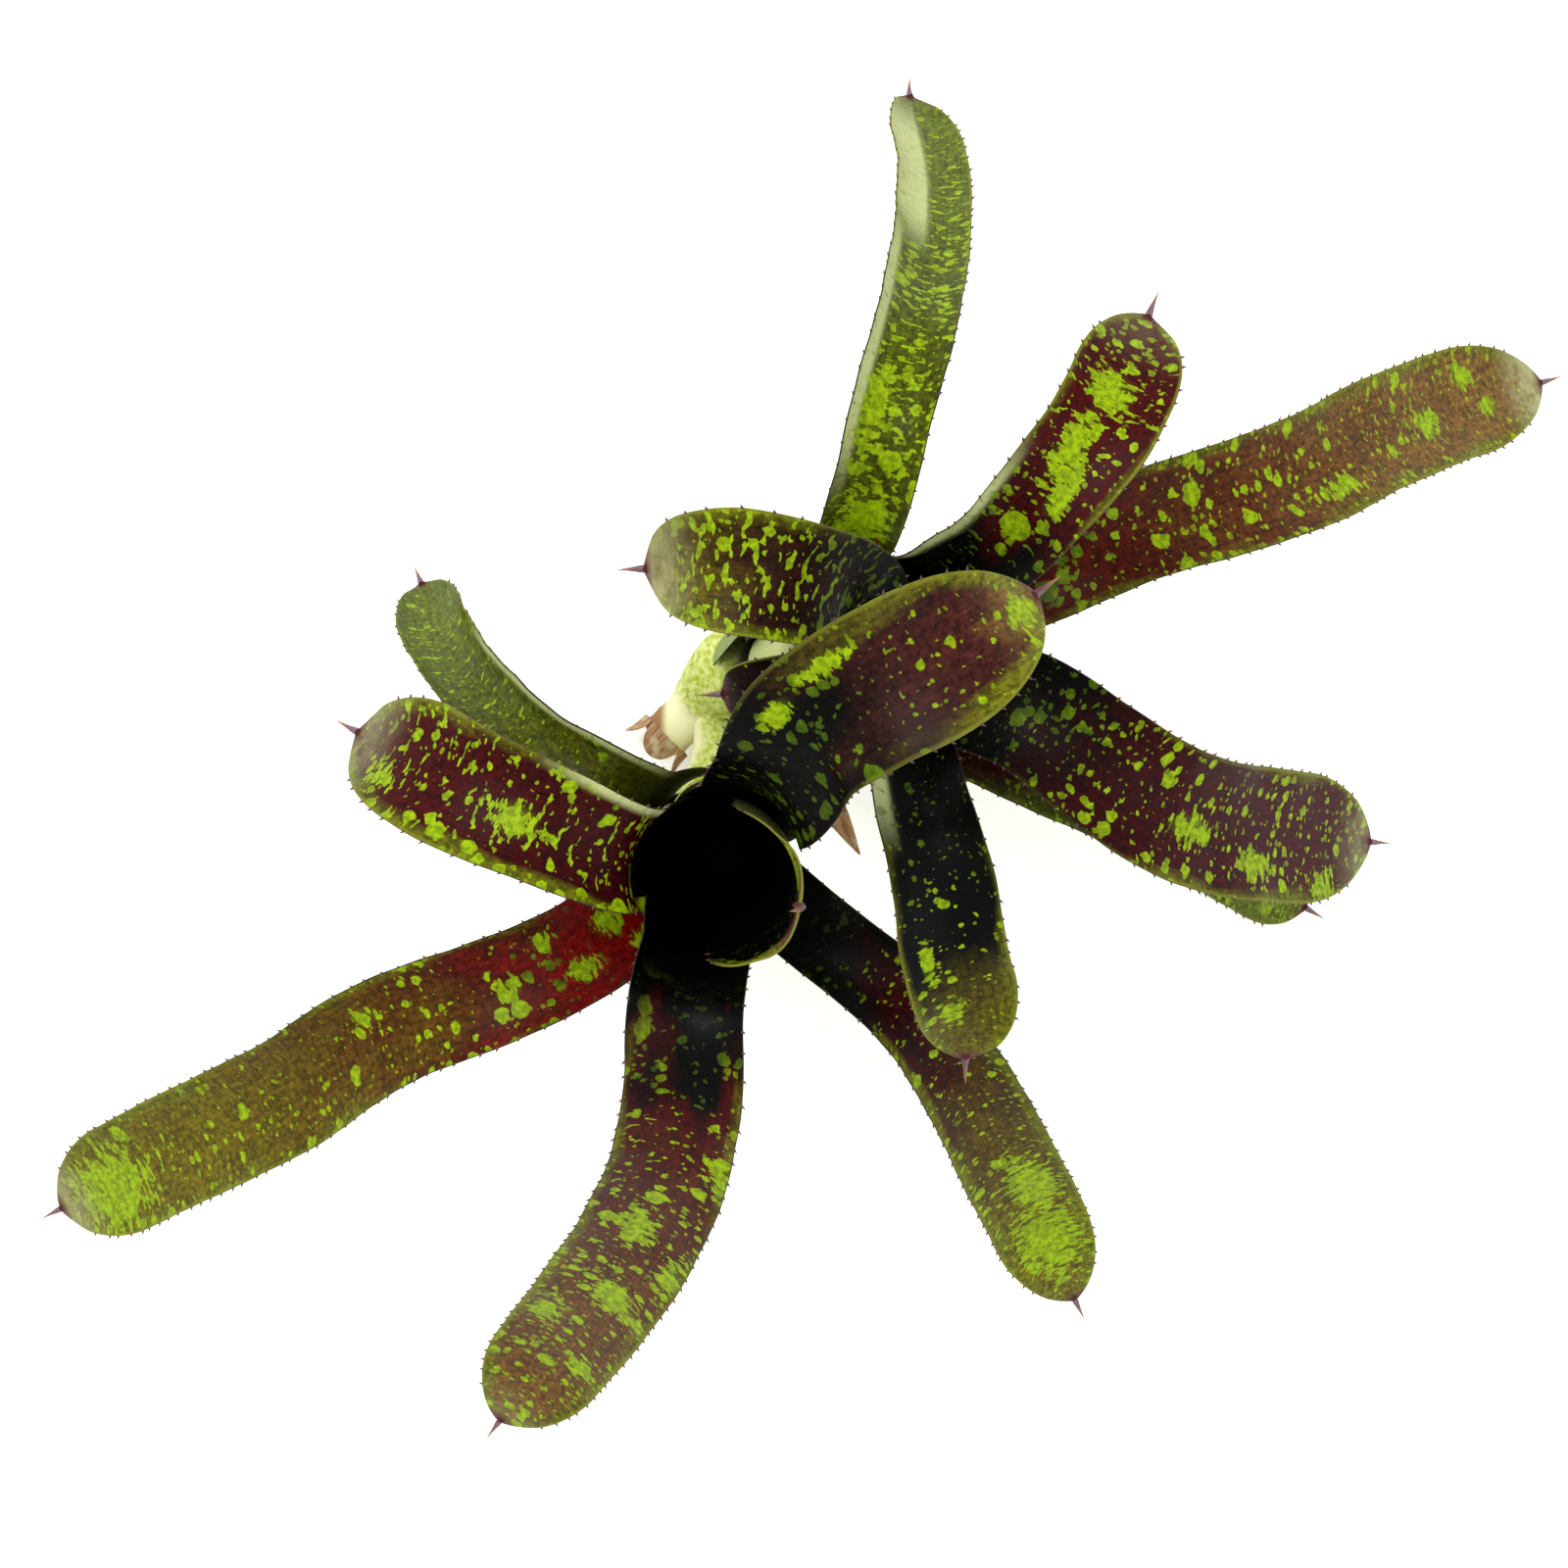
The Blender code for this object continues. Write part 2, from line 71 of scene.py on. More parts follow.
# %% [markdown]
# The leaves of each shoot, a and then b, from the middle of the tube outwards: their order is their layer.
# What the eye reads on each one is its path, its width and how deeply it is channelled, and then its
# colours: nearly black in the tube, where the dark foot also carries the tube's painted shade, maroon or
# green along the middle and olive to tan at the tip. The large lime patches are listed one by one, as shares
# along and across the blade with their half sizes in millimetres, because each leaf of the real plant carries
# its own; the small spots follow a rule. Pale sides, where a cream stands for both scurf and painted sheen,
# are (side, first share, last share, inner border), the turns are where one tone gives way to the next, and
# the marks are the amount of spots, where green sides begin, the painted highlight and silvery scurf at the
# tip and the streaks.

# %% The leaves
# BLACK, at the foot of the leaves in the tubes, is partly dark pigment and partly painted shade of the tubes;
# on the hearts it is painted shade.
BLACK = (0.0010, 0.0007, 0.0005)
SOOT = (0.020, 0.0035, 0.0010)
MAROON = (0.028, 0.0008, 0.0010)
WINE = (0.048, 0.0010, 0.0010)
RED = (0.140, 0.0012, 0.0010)
PURPLE = (0.046, 0.0045, 0.0060)
PLUM = (0.050, 0.0100, 0.0070)
RUSSET = (0.062, 0.0080, 0.0020)
TAN = (0.160, 0.0850, 0.0160)
OLIVE = (0.115, 0.0900, 0.0020)
MOSS = (0.048, 0.0520, 0.0010)
GREEN = (0.090, 0.1200, 0.0010)

# What most leaves have in common; "blend" is the length in mm over which a leaf unrolls from the tube.
ORDINARY = {"neck": 0.84, "apex": 2.2, "blend": 24.0, "roll": (0, 0), "patches": [], "pale": []}
LEAVES = {
    # The innermost leaf lines cup a, and its black is mostly the painted shade of the cup.
    "leaf_a7_inner": dict(
        release=0.8, half_width=20.5, neck=1.0, apex=0.6, blend=200.0,
        channel=(80, 78),
        path=[(25.0, -32.4, 88.0), (25.6, -33.4, 98.0)],
        tones=(BLACK, BLACK, MAROON), turns=(0.8, 1.5), marks=(0.45, 0.95, 0.0, 0.1),
        patches=[(0.9, 0.5, 3, 4)],
    ),
    "leaf_a2_upper_left": dict(
        release=0.82, half_width=11.2, channel=(42, 24), roll=(0, 12),
        path=[(-4, -25, 97), (-15, -20, 105), (-28, -14.5, 104), (-40, -8.5, 96), (-51, -4, 83)],
        tones=(BLACK, MAROON, WINE), turns=(0.16, 0.9), marks=(0.8, 0.76, 0.35, 0.6),
        patches=[(0.46, 0.1, 4, 3), (0.8, 0.5, 3, 2)], pale=[(-1, 0.02, 0.4, 0.78)],
    ),
    "leaf_a4_over_b": dict(
        release=0.76, half_width=12.8, channel=(40, 16),
        path=[(22, -13, 101), (27, -5, 113), (36, 1, 119), (46, 6, 120), (56, 12, 116),
            (63.5, 17.5, 109)],
        tones=(BLACK, PLUM, TAN), turns=(0.84, 0.96), marks=(0.68, 0.68, 0.1, -0.3),
        patches=[(0.93, -0.15, 3.2, 3.4), (0.56, 0.6, 5, 1.6), (0.44, 0.5, 3, 2)],
    ),
    "leaf_a5_lower": dict(
        release=0.76, half_width=12.4, channel=(38, 18),
        path=[(6, -52, 88), (6, -63, 88), (4, -76, 80), (-3, -95, 61), (-14.5, -115, 38),
            (-26.5, -133, 17), (-38, -149.5, 3)],
        tones=(BLACK, WINE, TAN), turns=(0.24, 1.2), marks=(0.78, 0.78, 0.15, 0.2),
        patches=[(0.29, 0.85, 4, 2), (0.45, -0.1, 6, 3), (0.5, 0.75, 6, 2), (0.61, 0.2, 5, 4),
            (0.63, 0.75, 3, 3), (0.72, -0.6, 5, 3), (0.8, 0.45, 3, 3)],
    ),
    "leaf_a6_lower_right": dict(
        release=0.54, half_width=10.6, neck=0.78, apex=2.6,
        channel=(56, 22),
        path=[(31.5, -42, 63), (44, -52, 64), (55.5, -67, 54), (65, -84, 38), (74, -101, 21),
            (85.3, -123.5, 3)],
        tones=(BLACK, MAROON, OLIVE), turns=(0.3, 0.85), marks=(0.62, 0.7, 0.05, 0.2),
        patches=[(0.7, 0.25, 9, 5), (0.84, 0.05, 11, 7)],
    ),
    "leaf_a1_far_left": dict(
        release=0.48, half_width=12.0, neck=0.84, channel=(46, 18),
        path=[(-13, -43, 63), (-31, -51, 67), (-49, -58, 61), (-72, -72.5, 46), (-98, -86, 28),
            (-132, -104, 3)],
        tones=(RED, RUSSET, OLIVE), turns=(0.2, 0.66), marks=(0.62, 0.8, 0.45, -0.3),
        patches=[(0.01, 0.2, 3, 4), (0.05, 0.5, 3, 2), (0.07, -0.2, 3, 3), (0.12, 0.3, 3, 2.5),
            (0.15, -0.5, 2, 2), (0.2, 0.1, 2.5, 2), (0.37, -0.4, 2.5, 2), (0.88, 0.1, 12, 8)],
    ),
    "leaf_a3_behind_left": dict(
        release=0.52, half_width=8.6, neck=0.85, apex=2.8,
        channel=(78, 58), roll=(0, 10),
        path=[(-9, -12, 69), (-20, -6, 67), (-33, 4, 54), (-44, 15, 35), (-53, 29, 12)],
        tones=(MOSS, MOSS, GREEN), turns=(0.2, 0.8), marks=(0.5, 1.1, 0.0, 0.3),
        pale=[(-1, 0.05, 0.6, 0.72)],
    ),
    "leaf_b4_left": dict(
        release=0.82, half_width=10.4, channel=(45, 20), roll=(0, -14),
        path=[(35, 18, 95), (28, 19, 107), (18, 20.5, 112), (9, 21.5, 110), (0, 22.5, 100)],
        tones=(BLACK, SOOT, OLIVE), turns=(0.6, 0.98), marks=(0.5, 0.72, 0.5, 1.15),
    ),
    "leaf_b9_small": dict(
        release=0.74, half_width=6.8, channel=(50, 30),
        path=[(29, 4, 78), (22, 3, 82), (16, 3, 80), (12, 3, 75)],
        tones=(BLACK, BLACK, SOOT), turns=(0.4, 1.2), marks=(0.35, 1.3, 0.0, 0.1),
    ),
    # Its black foot is partly the painted shadow that leaf a4 casts on it.
    "leaf_b2_upper_right": dict(
        release=0.8, half_width=9.6, channel=(50, 24),
        path=[(58, 26, 86), (66, 34, 96), (74, 44, 99), (80, 55, 95), (86, 68, 84)],
        tones=(BLACK, WINE, WINE), turns=(0.55, 0.95), marks=(0.9, 0.88, 0.1, 0.5),
        patches=[(0.6, 0.2, 7, 2.5), (0.52, -0.2, 5, 2), (0.74, 0.1, 4, 4)],
        pale=[(1, 0.1, 0.5, 0.74)],
    ),
    "leaf_b6_lower": dict(
        release=0.76, half_width=10.0, channel=(56, 30),
        path=[(45, -9, 78), (47, -18, 86), (50, -30, 88), (52.2, -42, 84), (55.4, -54, 75),
            (56.0, -63, 66)],
        tones=(BLACK, BLACK, OLIVE), turns=(0.62, 1.00), marks=(0.52, 0.78, 0.0, -0.1),
        patches=[(0.66, -0.5, 4, 1.4), (0.82, -0.3, 3, 2)], pale=[(-1, 0.1, 0.34, 0.55)],
    ),
    "leaf_b5_right_lower": dict(
        release=0.66, half_width=13.2, channel=(36, 16),
        path=[(67, 0, 66), (78, -8, 69), (90, -16, 66), (104, -21, 55), (119, -23, 41),
            (144.5, -25, 17)],
        tones=(BLACK, MAROON, PURPLE), turns=(0.34, 0.8), marks=(0.8, 0.88, 0.35, 0.25),
        patches=[(0.5, -0.15, 6, 2.5), (0.66, -0.45, 5, 2.5), (0.84, -0.75, 4, 2.5)],
    ),
    "leaf_b1_top": dict(
        release=0.56, half_width=8.8, neck=0.94, apex=3.0,
        channel=(52, 50), roll=(0, 20),
        path=[(38, 38, 69), (41, 50, 74), (45.2, 66, 69), (49.4, 85, 52), (51.8, 107, 31),
            (49.8, 134, 4)],
        tones=(RED, MOSS, GREEN), turns=(0.08, 0.8), marks=(0.7, 0.9, 0.0, 1.0),
        patches=[(0.12, 0.0, 5, 5), (0.26, 0.4, 8, 3)], pale=[(1, 0.62, 0.93, -0.05),
            (1, 0.2, 0.6, 0.6)],
    ),
    "leaf_b3_far_right": dict(
        release=0.56, half_width=11.8, apex=2.5, channel=(44, 18),
        path=[(66, 24, 62), (86, 33, 65), (104, 39, 61), (121, 45.5, 51), (139, 55, 37), (159, 64, 21),
            (185.3, 73, 3)],
        tones=(WINE, RUSSET, TAN), turns=(0.3, 0.85), marks=(0.76, 0.8, 0.75, 0.1),
        patches=[(0.76, -0.1, 4, 3.5), (0.88, -0.2, 2.5, 2.5), (0.85, 0.45, 3, 2), (0.56, -0.5, 6, 2)],
    ),
    "leaf_b7_under_right": dict(
        release=0.5, half_width=9.0, channel=(46, 20),
        path=[(58, -5, 51), (74, -11.5, 49), (98, -21, 36), (117, -30, 20), (134.5, -39.5, 4)],
        tones=(MAROON, MOSS, GREEN), turns=(0.3, 0.85), marks=(0.6, 0.85, 0.0, 0.2),
        patches=[(0.9, 0.0, 7, 4)], pale=[(1, 0.05, 0.5, 0.5)],
    ),
}
for name in LEAVES:
    shoot = name[len("leaf_")]
    layer = sum(leaf.get("shoot") == shoot for leaf in LEAVES.values())
    LEAVES[name] = {**ORDINARY, "shoot": shoot, "layer": layer, **LEAVES[name]}
print(len(LEAVES), "leaves")

# %% [markdown]
# A leaf's midline must run smoothly through its listed points. A curve object could do it, but then
# its twist would be hard to control, so the curve is worked out here: between two points the place is the
# usual cubic blend of both places and both slopes, and the result is read at even distances.

# %% Curves through points
def unit(vectors):
    return vectors / np.linalg.norm(vectors, axis=-1, keepdims=True)


def ease(x):
    """0 to 1 with a soft start and end: three times the square less twice the cube."""
    x = np.clip(x, 0.0, 1.0)
    return x * x * (3.0 - 2.0 * x)


def smooth_path(points, shares):
    """Places at shares of the length of the cubic curve through the points, and their distances along it."""
    points = np.asarray(points, float)
    knots = np.concatenate([[0.0], np.cumsum(np.linalg.norm(np.diff(points, axis=0), axis=1))])
    slopes = np.gradient(points, knots, axis=0)
    fine = np.linspace(0.0, knots[-1], 400)
    left = np.clip(np.searchsorted(knots, fine, side="right") - 1, 0, len(knots) - 2)
    span = knots[left + 1] - knots[left]
    u = ((fine - knots[left]) / span)[:, None]
    span = span[:, None]
    curve = (
        (2 * u**3 - 3 * u**2 + 1) * points[left]
        + (u**3 - 2 * u**2 + u) * span * slopes[left]
        + (3 * u**2 - 2 * u**3) * points[left + 1]
        + (u**3 - u**2) * span * slopes[left + 1]
    )
    run = np.concatenate([[0.0], np.cumsum(np.linalg.norm(np.diff(curve, axis=0), axis=1))])
    at = np.asarray(shares) * run[-1]
    return np.stack([np.interp(at, run, curve[:, k]) for k in range(3)], axis=1), at


# %% [markdown]
# The tube's geometry. A sheath is part of a cone around the shoot's axis. Its radius is the cup's radius
# plus one step for every leaf inside it, so that neighbours never touch, however many there are.

# %% The sheath's cone
def axis_point(shoot, share):
    base = np.array(SHOOTS[shoot]["base"])
    mouth = np.array(SHOOTS[shoot]["mouth"])
    return base + np.multiply.outer(share, mouth - base)


def axis_direction(shoot):
    return unit(axis_point(shoot, 1.0) - axis_point(shoot, 0.0))


def layer_radius(layer, share):
    """The cup's radius at that share of the axis, plus half a step and one step for each layer inside."""
    inner = CUP_RADIUS[0] + (CUP_RADIUS[1] - CUP_RADIUS[0]) * share
    step = LAYER_STEP[0] + (LAYER_STEP[1] - LAYER_STEP[0]) * share
    return inner + (layer + 0.5) * step


def start_share(leaf):
    """The outermost leaf grows lowest on the stem, and each inner one a step higher."""
    layers = sum(other["shoot"] == leaf["shoot"] for other in LEAVES.values())
    return FIRST_START + START_STEP * (layers - 1 - leaf["layer"])


# %% [markdown]
# From sheath to blade. A cross-section is an arc: in the sheath its middle lies on the shoot's axis, and on
# the blade it opens into a shallow channel. Between the two, the direction of the section turns from the
# tube's to level, over about 24 mm, which is how the real leaf unrolls at its neck.

# %% Sections along a leaf
SHEATH_ROWS = 16
BLADE_ROWS = 92
APEX_ROWS = 22
APEX_END = 0.985  # the blade stops just short of its full length, inside the thorn
NARROW = 0.6  # below this share of the half-width the channel flattens with the tip


def leaf_sections(leaf):
    """Rows of cross-section along a leaf: middle, left, up, along, half-width, half-angle, travel, length."""
    shoot = leaf["shoot"]
    axis = axis_direction(shoot)
    release = axis_point(shoot, leaf["release"])
    outward = np.array(leaf["path"][0], float) - release
    outward = unit(outward - axis * (outward @ axis))
    shares = np.linspace(start_share(leaf), leaf["release"], SHEATH_ROWS)
    radii = layer_radius(leaf["layer"], shares)
    sheath = axis_point(shoot, shares) + radii[:, None] * outward
    knee = sheath[-1] + (sheath[0] - sheath[-1]) / 3.0
    path = np.vstack([knee, sheath[-1], leaf["path"]])
    _, total = smooth_path(path, [1.0])
    before = np.linalg.norm(sheath[-1] - knee)
    length = total[-1] - before
    apex = leaf["apex"] * leaf["half_width"]
    rows = np.linspace(0.0, length - apex, BLADE_ROWS + 1)[1:]
    tip = np.sin(np.linspace(0.0, 1.0, APEX_ROWS + 1)[1:] * math.pi / 2.0) * APEX_END
    rows = np.concatenate([rows, length - apex * (1.0 - tip)])
    blade, _ = smooth_path(path, (before + rows) / total[-1])
    spine = np.vstack([sheath, blade])
    travel = np.concatenate([-np.linalg.norm(sheath - sheath[-1], axis=1), rows])

    in_sheath = np.arange(len(travel)) < SHEATH_ROWS
    tied = np.where(in_sheath, 1.0, 1.0 - ease(travel / leaf["blend"]))[:, None]
    steps = np.concatenate([[0.0], np.cumsum(np.linalg.norm(np.diff(spine, axis=0), axis=1))])
    along = unit(np.gradient(spine, steps, axis=0))
    along = unit(along * (1.0 - tied) + axis * tied)
    away = unit((spine - release)[:, :2])
    far = ease(travel / HEADING_LENGTH)[:, None]
    heading = unit(away * (1.0 - far) + unit(along[:, :2]) * far)
    level = np.stack([-heading[:, 1], heading[:, 0], np.zeros(len(along))], axis=1)
    left = level * (1.0 - tied) + np.cross(-outward, axis) * tied
    left = unit(left - along * np.sum(left * along, axis=1, keepdims=True))
    up = np.cross(along, left)
    share = np.clip(travel / length, 0.0, 1.0)
    roll = np.radians(np.interp(share, [0.0, 1.0], leaf["roll"]))[:, None]
    left, up = left * np.cos(roll) + up * np.sin(roll), up * np.cos(roll) - left * np.sin(roll)

    widest = leaf["half_width"]
    neck = widest * leaf["neck"]
    half = neck + (widest - neck) * ease(share / WIDEST_AT)
    past = np.clip((travel - (length - apex)) / apex, 0.0, 1.0)
    half = np.maximum(half * (1.0 - past**APEX_SQUARENESS) ** APEX_ROUNDNESS, THORN_HALF_WIDTH)
    wrap = np.linspace(SHEATH_WRAP, neck / radii[-1], SHEATH_ROWS)
    half[:SHEATH_ROWS] = wrap * radii
    channel = np.radians(np.interp(share, [0.0, 1.0], leaf["channel"]))
    channel = channel * (1.0 - tied[:, 0]) + half / radii[-1] * tied[:, 0]
    channel[:SHEATH_ROWS] = wrap
    narrowing = half / np.maximum(half, widest * NARROW)
    channel = channel * np.where(past > 0.0, narrowing, 1.0)
    return spine, left, up, along, half, channel, travel, length


# %% [markdown]
# The blade as a grid. The two parameters are the place across (from -1 at the right margin to 1 at the
# left) and the row along. The upper and lower faces stand off the middle surface along its own normal, the
# blade thins towards its margins, and its margins wave a little once they are free of the tube.

# %% The leaf's two faces
COLUMNS = 29
CROWDING = 0.35  # how much closer the columns lie near the margins
EDGE_THICKNESS = 0.30
WAVE_HEIGHT = 0.15
WAVE_LENGTH = 27.0
CALM_LENGTH = 35.0  # the waves grow from nothing over this length


def leaf_faces(sections, columns, seed, thickness=LEAF_THICKNESS, wave=WAVE_HEIGHT):
    """Upper, lower and middle grids, and the shares across. The middle is spine + left * r sin a
    + up * r (1 - cos a), where a runs over the channel's angle and r is half-width over angle. The faces
    lie half the thickness off it, along up * cos a - left * sin a."""
    spine, left, up, along, half, channel, travel, length = sections
    even = np.linspace(-1.0, 1.0, columns)
    across = np.sin(even * math.pi / 2.0) * CROWDING + even * (1.0 - CROWDING)
    angle = channel[:, None] * across
    bend = (half / channel)[:, None]
    facing = up[:, None] * np.cos(angle)[..., None] - left[:, None] * np.sin(angle)[..., None]
    middle = (
        spine[:, None]
        + left[:, None] * (bend * np.sin(angle))[..., None]
        + up[:, None] * (bend * (1.0 - np.cos(angle)))[..., None]
    )
    free = ease(travel / CALM_LENGTH)[:, None]
    phase = seed * 2.4 + 1.3 * np.sign(across)
    ripple = np.sin(travel[:, None] * 2.0 * math.pi / WAVE_LENGTH + phase)
    ripple = ripple + 0.5 * np.sin(travel[:, None] * 2.0 * math.pi / (WAVE_LENGTH * 0.37) + 2.0 * phase)
    narrow = np.minimum(half / 6.0, 1.0)[:, None]
    middle = middle + facing * (wave * free * narrow * np.abs(across) ** 3 * ripple)[..., None]
    wall = EDGE_THICKNESS + (thickness - EDGE_THICKNESS) * np.sqrt(1.0 - 0.98 * across**2)
    upper = middle + facing * (wall / 2.0)[:, None]
    lower = middle - facing * (wall / 2.0)[:, None]
    return upper, lower, middle, across


# %% [markdown]
# A closed blade is the upper grid, the lower grid turned over, and a strip along each of the four sides.
# Faces are listed as whole index arrays. The upper face, the lower face and the rim get their own material
# slots, because the back of the leaf is pale and scurfy and its edge is a thin lime line.

# %% Closing a blade
UPPER_SLOT, LOWER_SLOT, RIM_SLOT, SPINE_SLOT, THORN_SLOT = range(5)


def grid_quads(rows, columns, offset, upward):
    """Quads between neighbouring rows and columns: along, then across to the left, turns anticlockwise."""
    index = offset + np.arange(rows * columns).reshape(rows, columns)
    quads = np.stack([index[:-1, :-1], index[1:, :-1], index[1:, 1:], index[:-1, 1:]], axis=-1).reshape(-1, 4)
    return quads if upward else quads[:, ::-1]


def blade_faces(rows, columns):
    """The upper grid, the lower grid turned over, and the four strips that join their borders."""
    index = np.arange(rows * columns).reshape(rows, columns)
    border = np.concatenate([index[:-1, 0], index[-1, :-1], index[:0:-1, -1], index[0, :0:-1]])
    following = np.roll(border, -1)
    below = rows * columns
    rim = np.stack([border, border + below, following + below, following], axis=-1)
    return [grid_quads(rows, columns, 0, True), grid_quads(rows, columns, below, False), rim]


# %% [markdown]
# Spines. The margins carry small dark hooks every few millimetres that lean towards the tip, and the blade
# ends in a longer curved thorn. Each is a bent cone: rings of six points whose middle follows an arc and
# whose radius falls to almost nothing. One formula makes all of them at once as a single array.

# %% Hooks and the end thorn
HOOK_SIDES = 6
HOOK_RINGS = 5
HOOK_LENGTH = 0.85
HOOK_RADIUS = 0.34
HOOK_PITCH = 3.7
HOOK_FREE_TIP = 5.0
SHORT_LEAF = 30.0
HOOK_BEND = 1.15
THORN_LENGTH = 6.0 * 0.97
THORN_RADIUS = THORN_HALF_WIDTH * 1.05
THORN_BEND = 0.7


def bent_cones(roots, outward, ahead, length, radius, bend, first):
    """Cones whose middle runs from the root on an arc: outward * sin(b t) L / b + ahead * (1 - cos(b t))
    L / b, with b the bend in radians, L the length and t from just inside the leaf to the point."""
    t = np.linspace(-0.12, 1.0, HOOK_RINGS)
    reach = (np.sin(bend * t) / bend)[None, :, None, None]
    lean = ((1.0 - np.cos(bend * t)) / bend)[None, :, None, None]
    outward, ahead = outward[:, None, None, :], ahead[:, None, None, :]
    length = np.asarray(length).reshape(-1, 1, 1, 1)
    core = roots[:, None, None, :] + outward * length * reach + ahead * length * lean
    side = unit(np.cross(outward, ahead))
    turn = np.arange(HOOK_SIDES) * 2.0 * math.pi / HOOK_SIDES
    falling = (1.0 - 0.95 * np.clip(t, 0.0, 1.0) ** 0.9)[None, :, None, None]
    ring = ahead * np.cos(turn)[None, None, :, None] + side * 0.7 * np.sin(turn)[None, None, :, None]
    points = core + ring * radius * falling
    index = first + np.arange(len(roots) * HOOK_RINGS * HOOK_SIDES).reshape(-1, HOOK_RINGS, HOOK_SIDES)
    near, far = index[:, :-1], index[:, 1:]
    # Side is outward crossed with ahead, so the ring turns anticlockwise as seen from the point of the hook.
    quads = np.stack([near, np.roll(near, -1, axis=2), np.roll(far, -1, axis=2), far], axis=-1).reshape(-1, 4)
    caps = np.concatenate([index[:, 0][:, ::-1], index[:, -1]])
    return points.reshape(-1, 3), quads, caps


def margin_hooks(middle, along, travel, length, column, inner, random):
    """Places, outward and forward directions of the hooks along one margin, read off at uneven distances."""
    start = 1.5 if length > SHORT_LEAF else 4.0
    count = max(int((length - HOOK_FREE_TIP - start) / HOOK_PITCH), 1)
    at = start + HOOK_PITCH * (np.arange(count) + random.uniform(-0.22, 0.22, count))
    outward = unit(middle[:, column] - middle[:, inner])

    def read(rows):
        return np.stack([np.interp(at, travel, rows[:, k]) for k in range(3)], axis=1)

    return read(middle[:, column]), unit(read(outward)), unit(read(along)), random.uniform(0.75, 1.2, count)


# %% [markdown]
# Small helpers that turn arrays into meshes. A finished object stays at the origin, unturned and unscaled,
# and its place is in its mesh. The surface map keeps real lengths, so a spot that is three millimetres
# wide in the material is three millimetres wide on every leaf.

# %% Mesh helpers
SHARP_FROM = math.radians(50.0)
MAP_WIDTH = 100.0
MAP_LENGTH = 400.0
MAP_START = 120.0


def new_object(name, points, faces, slots, materials):
    """A mesh object from points in millimetres, a list of face arrays and one slot number for each array."""
    mesh = bpy.data.meshes.new(name)
    rows = [row for block in faces for row in block.tolist()]
    mesh.from_pydata((np.vstack(points) * MM).tolist(), [], rows)
    for material in materials:
        mesh.materials.append(material)
    slots = np.repeat(np.asarray(slots, np.int32), [len(block) for block in faces])
    mesh.polygons.foreach_set("material_index", slots)
    mesh.polygons.foreach_set("use_smooth", np.full(len(mesh.polygons), True))
    mesh.set_sharp_from_angle(angle=SHARP_FROM)
    mesh.update()
    made = bpy.data.objects.new(name, mesh)
    bpy.context.scene.collection.objects.link(made)
    return made


def point_value(made, name, values):
    attribute = made.data.attributes.new(name, "FLOAT", "POINT")
    attribute.data.foreach_set("value", np.asarray(values, np.float32))


def map_surface(made, across_mm, along_mm):
    """A map in real lengths, scaled so that every leaf fits the square."""
    layer = made.data.uv_layers.new(name="leaf_map")
    corner = np.empty(len(made.data.loops), np.int32)
    made.data.loops.foreach_get("vertex_index", corner)
    place = np.stack([0.5 + across_mm / MAP_WIDTH, (along_mm + MAP_START) / MAP_LENGTH], axis=1)
    layer.data.foreach_set("uv", place[corner].astype(np.float32).ravel())


# %% [markdown]
# Shader shorthand. A material is a small tree of nodes, and writing each node out would bury the idea, so
# these few functions add one node and hand back its output. Effects that several materials share become
# node groups, which give colours, masks and heights to the shader of each material.

# %% Node helpers
def wire(node, inputs):
    """Gives the node its inputs; each is a plain value, a colour of three parts or another node's output."""
    for key, value in inputs.items():
        socket = node.inputs[key]
        if isinstance(value, bpy.types.NodeSocket):
            node.id_data.links.new(value, socket)
        elif socket.type == "RGBA":
            socket.default_value = (*value, 1.0)
        else:
            socket.default_value = value


def put(kind, inputs, tree=None, **settings):
    """Adds a node, to the tree of its first input that is another node's output unless a tree is given."""
    if tree is None:
        tree = next(value.id_data for value in inputs.values() if isinstance(value, bpy.types.NodeSocket))
    made = tree.nodes.new("ShaderNode" + kind)
    for key, value in settings.items():
        setattr(made, key, value)
    wire(made, inputs)
    return made


def calc(operation, a, b=0.0, c=0.0):
    return put("Math", {0: a, 1: b, 2: c}, operation=operation).outputs[0]


def times(a, b):
    return calc("MULTIPLY", a, b)


def span(value, low, high, to_low=0.0, to_high=1.0, curve="SMOOTHSTEP"):
    """Maps low..high to to_low..to_high, softly unless told otherwise, and stays there outside."""
    inputs = {0: value, 1: low, 2: high, 3: to_low, 4: to_high}
    return put("MapRange", inputs, interpolation_type=curve).outputs[0]


def blend(factor, first, second):
    return put("Mix", {0: factor, 6: first, 7: second}, data_type="RGBA").outputs[2]


def vector(operation, a, b, c=(0.0, 0.0, 0.0)):
    return put("VectorMath", {0: a, 1: b, 2: c}, operation=operation).outputs[0]


def stretched(place, x, y, z=1.0):
    return vector("MULTIPLY", place, (x, y, z))


def attribute(tree, name):
    return put("Attribute", {}, tree, attribute_name=name, attribute_type="GEOMETRY").outputs["Fac"]


def noise(place, scale, detail=2.0, roughness=0.5, output=0):
    inputs = {"Vector": place, "Scale": scale, "Detail": detail, "Roughness": roughness}
    return put("TexNoise", inputs).outputs[output]


def object_place(tree):
    return put("TexCoord", {}, tree).outputs["Object"]


def bump(height, strength, distance=0.0002):
    inputs = {"Height": height, "Strength": strength, "Distance": distance}
    return put("Bump", inputs).outputs[0]


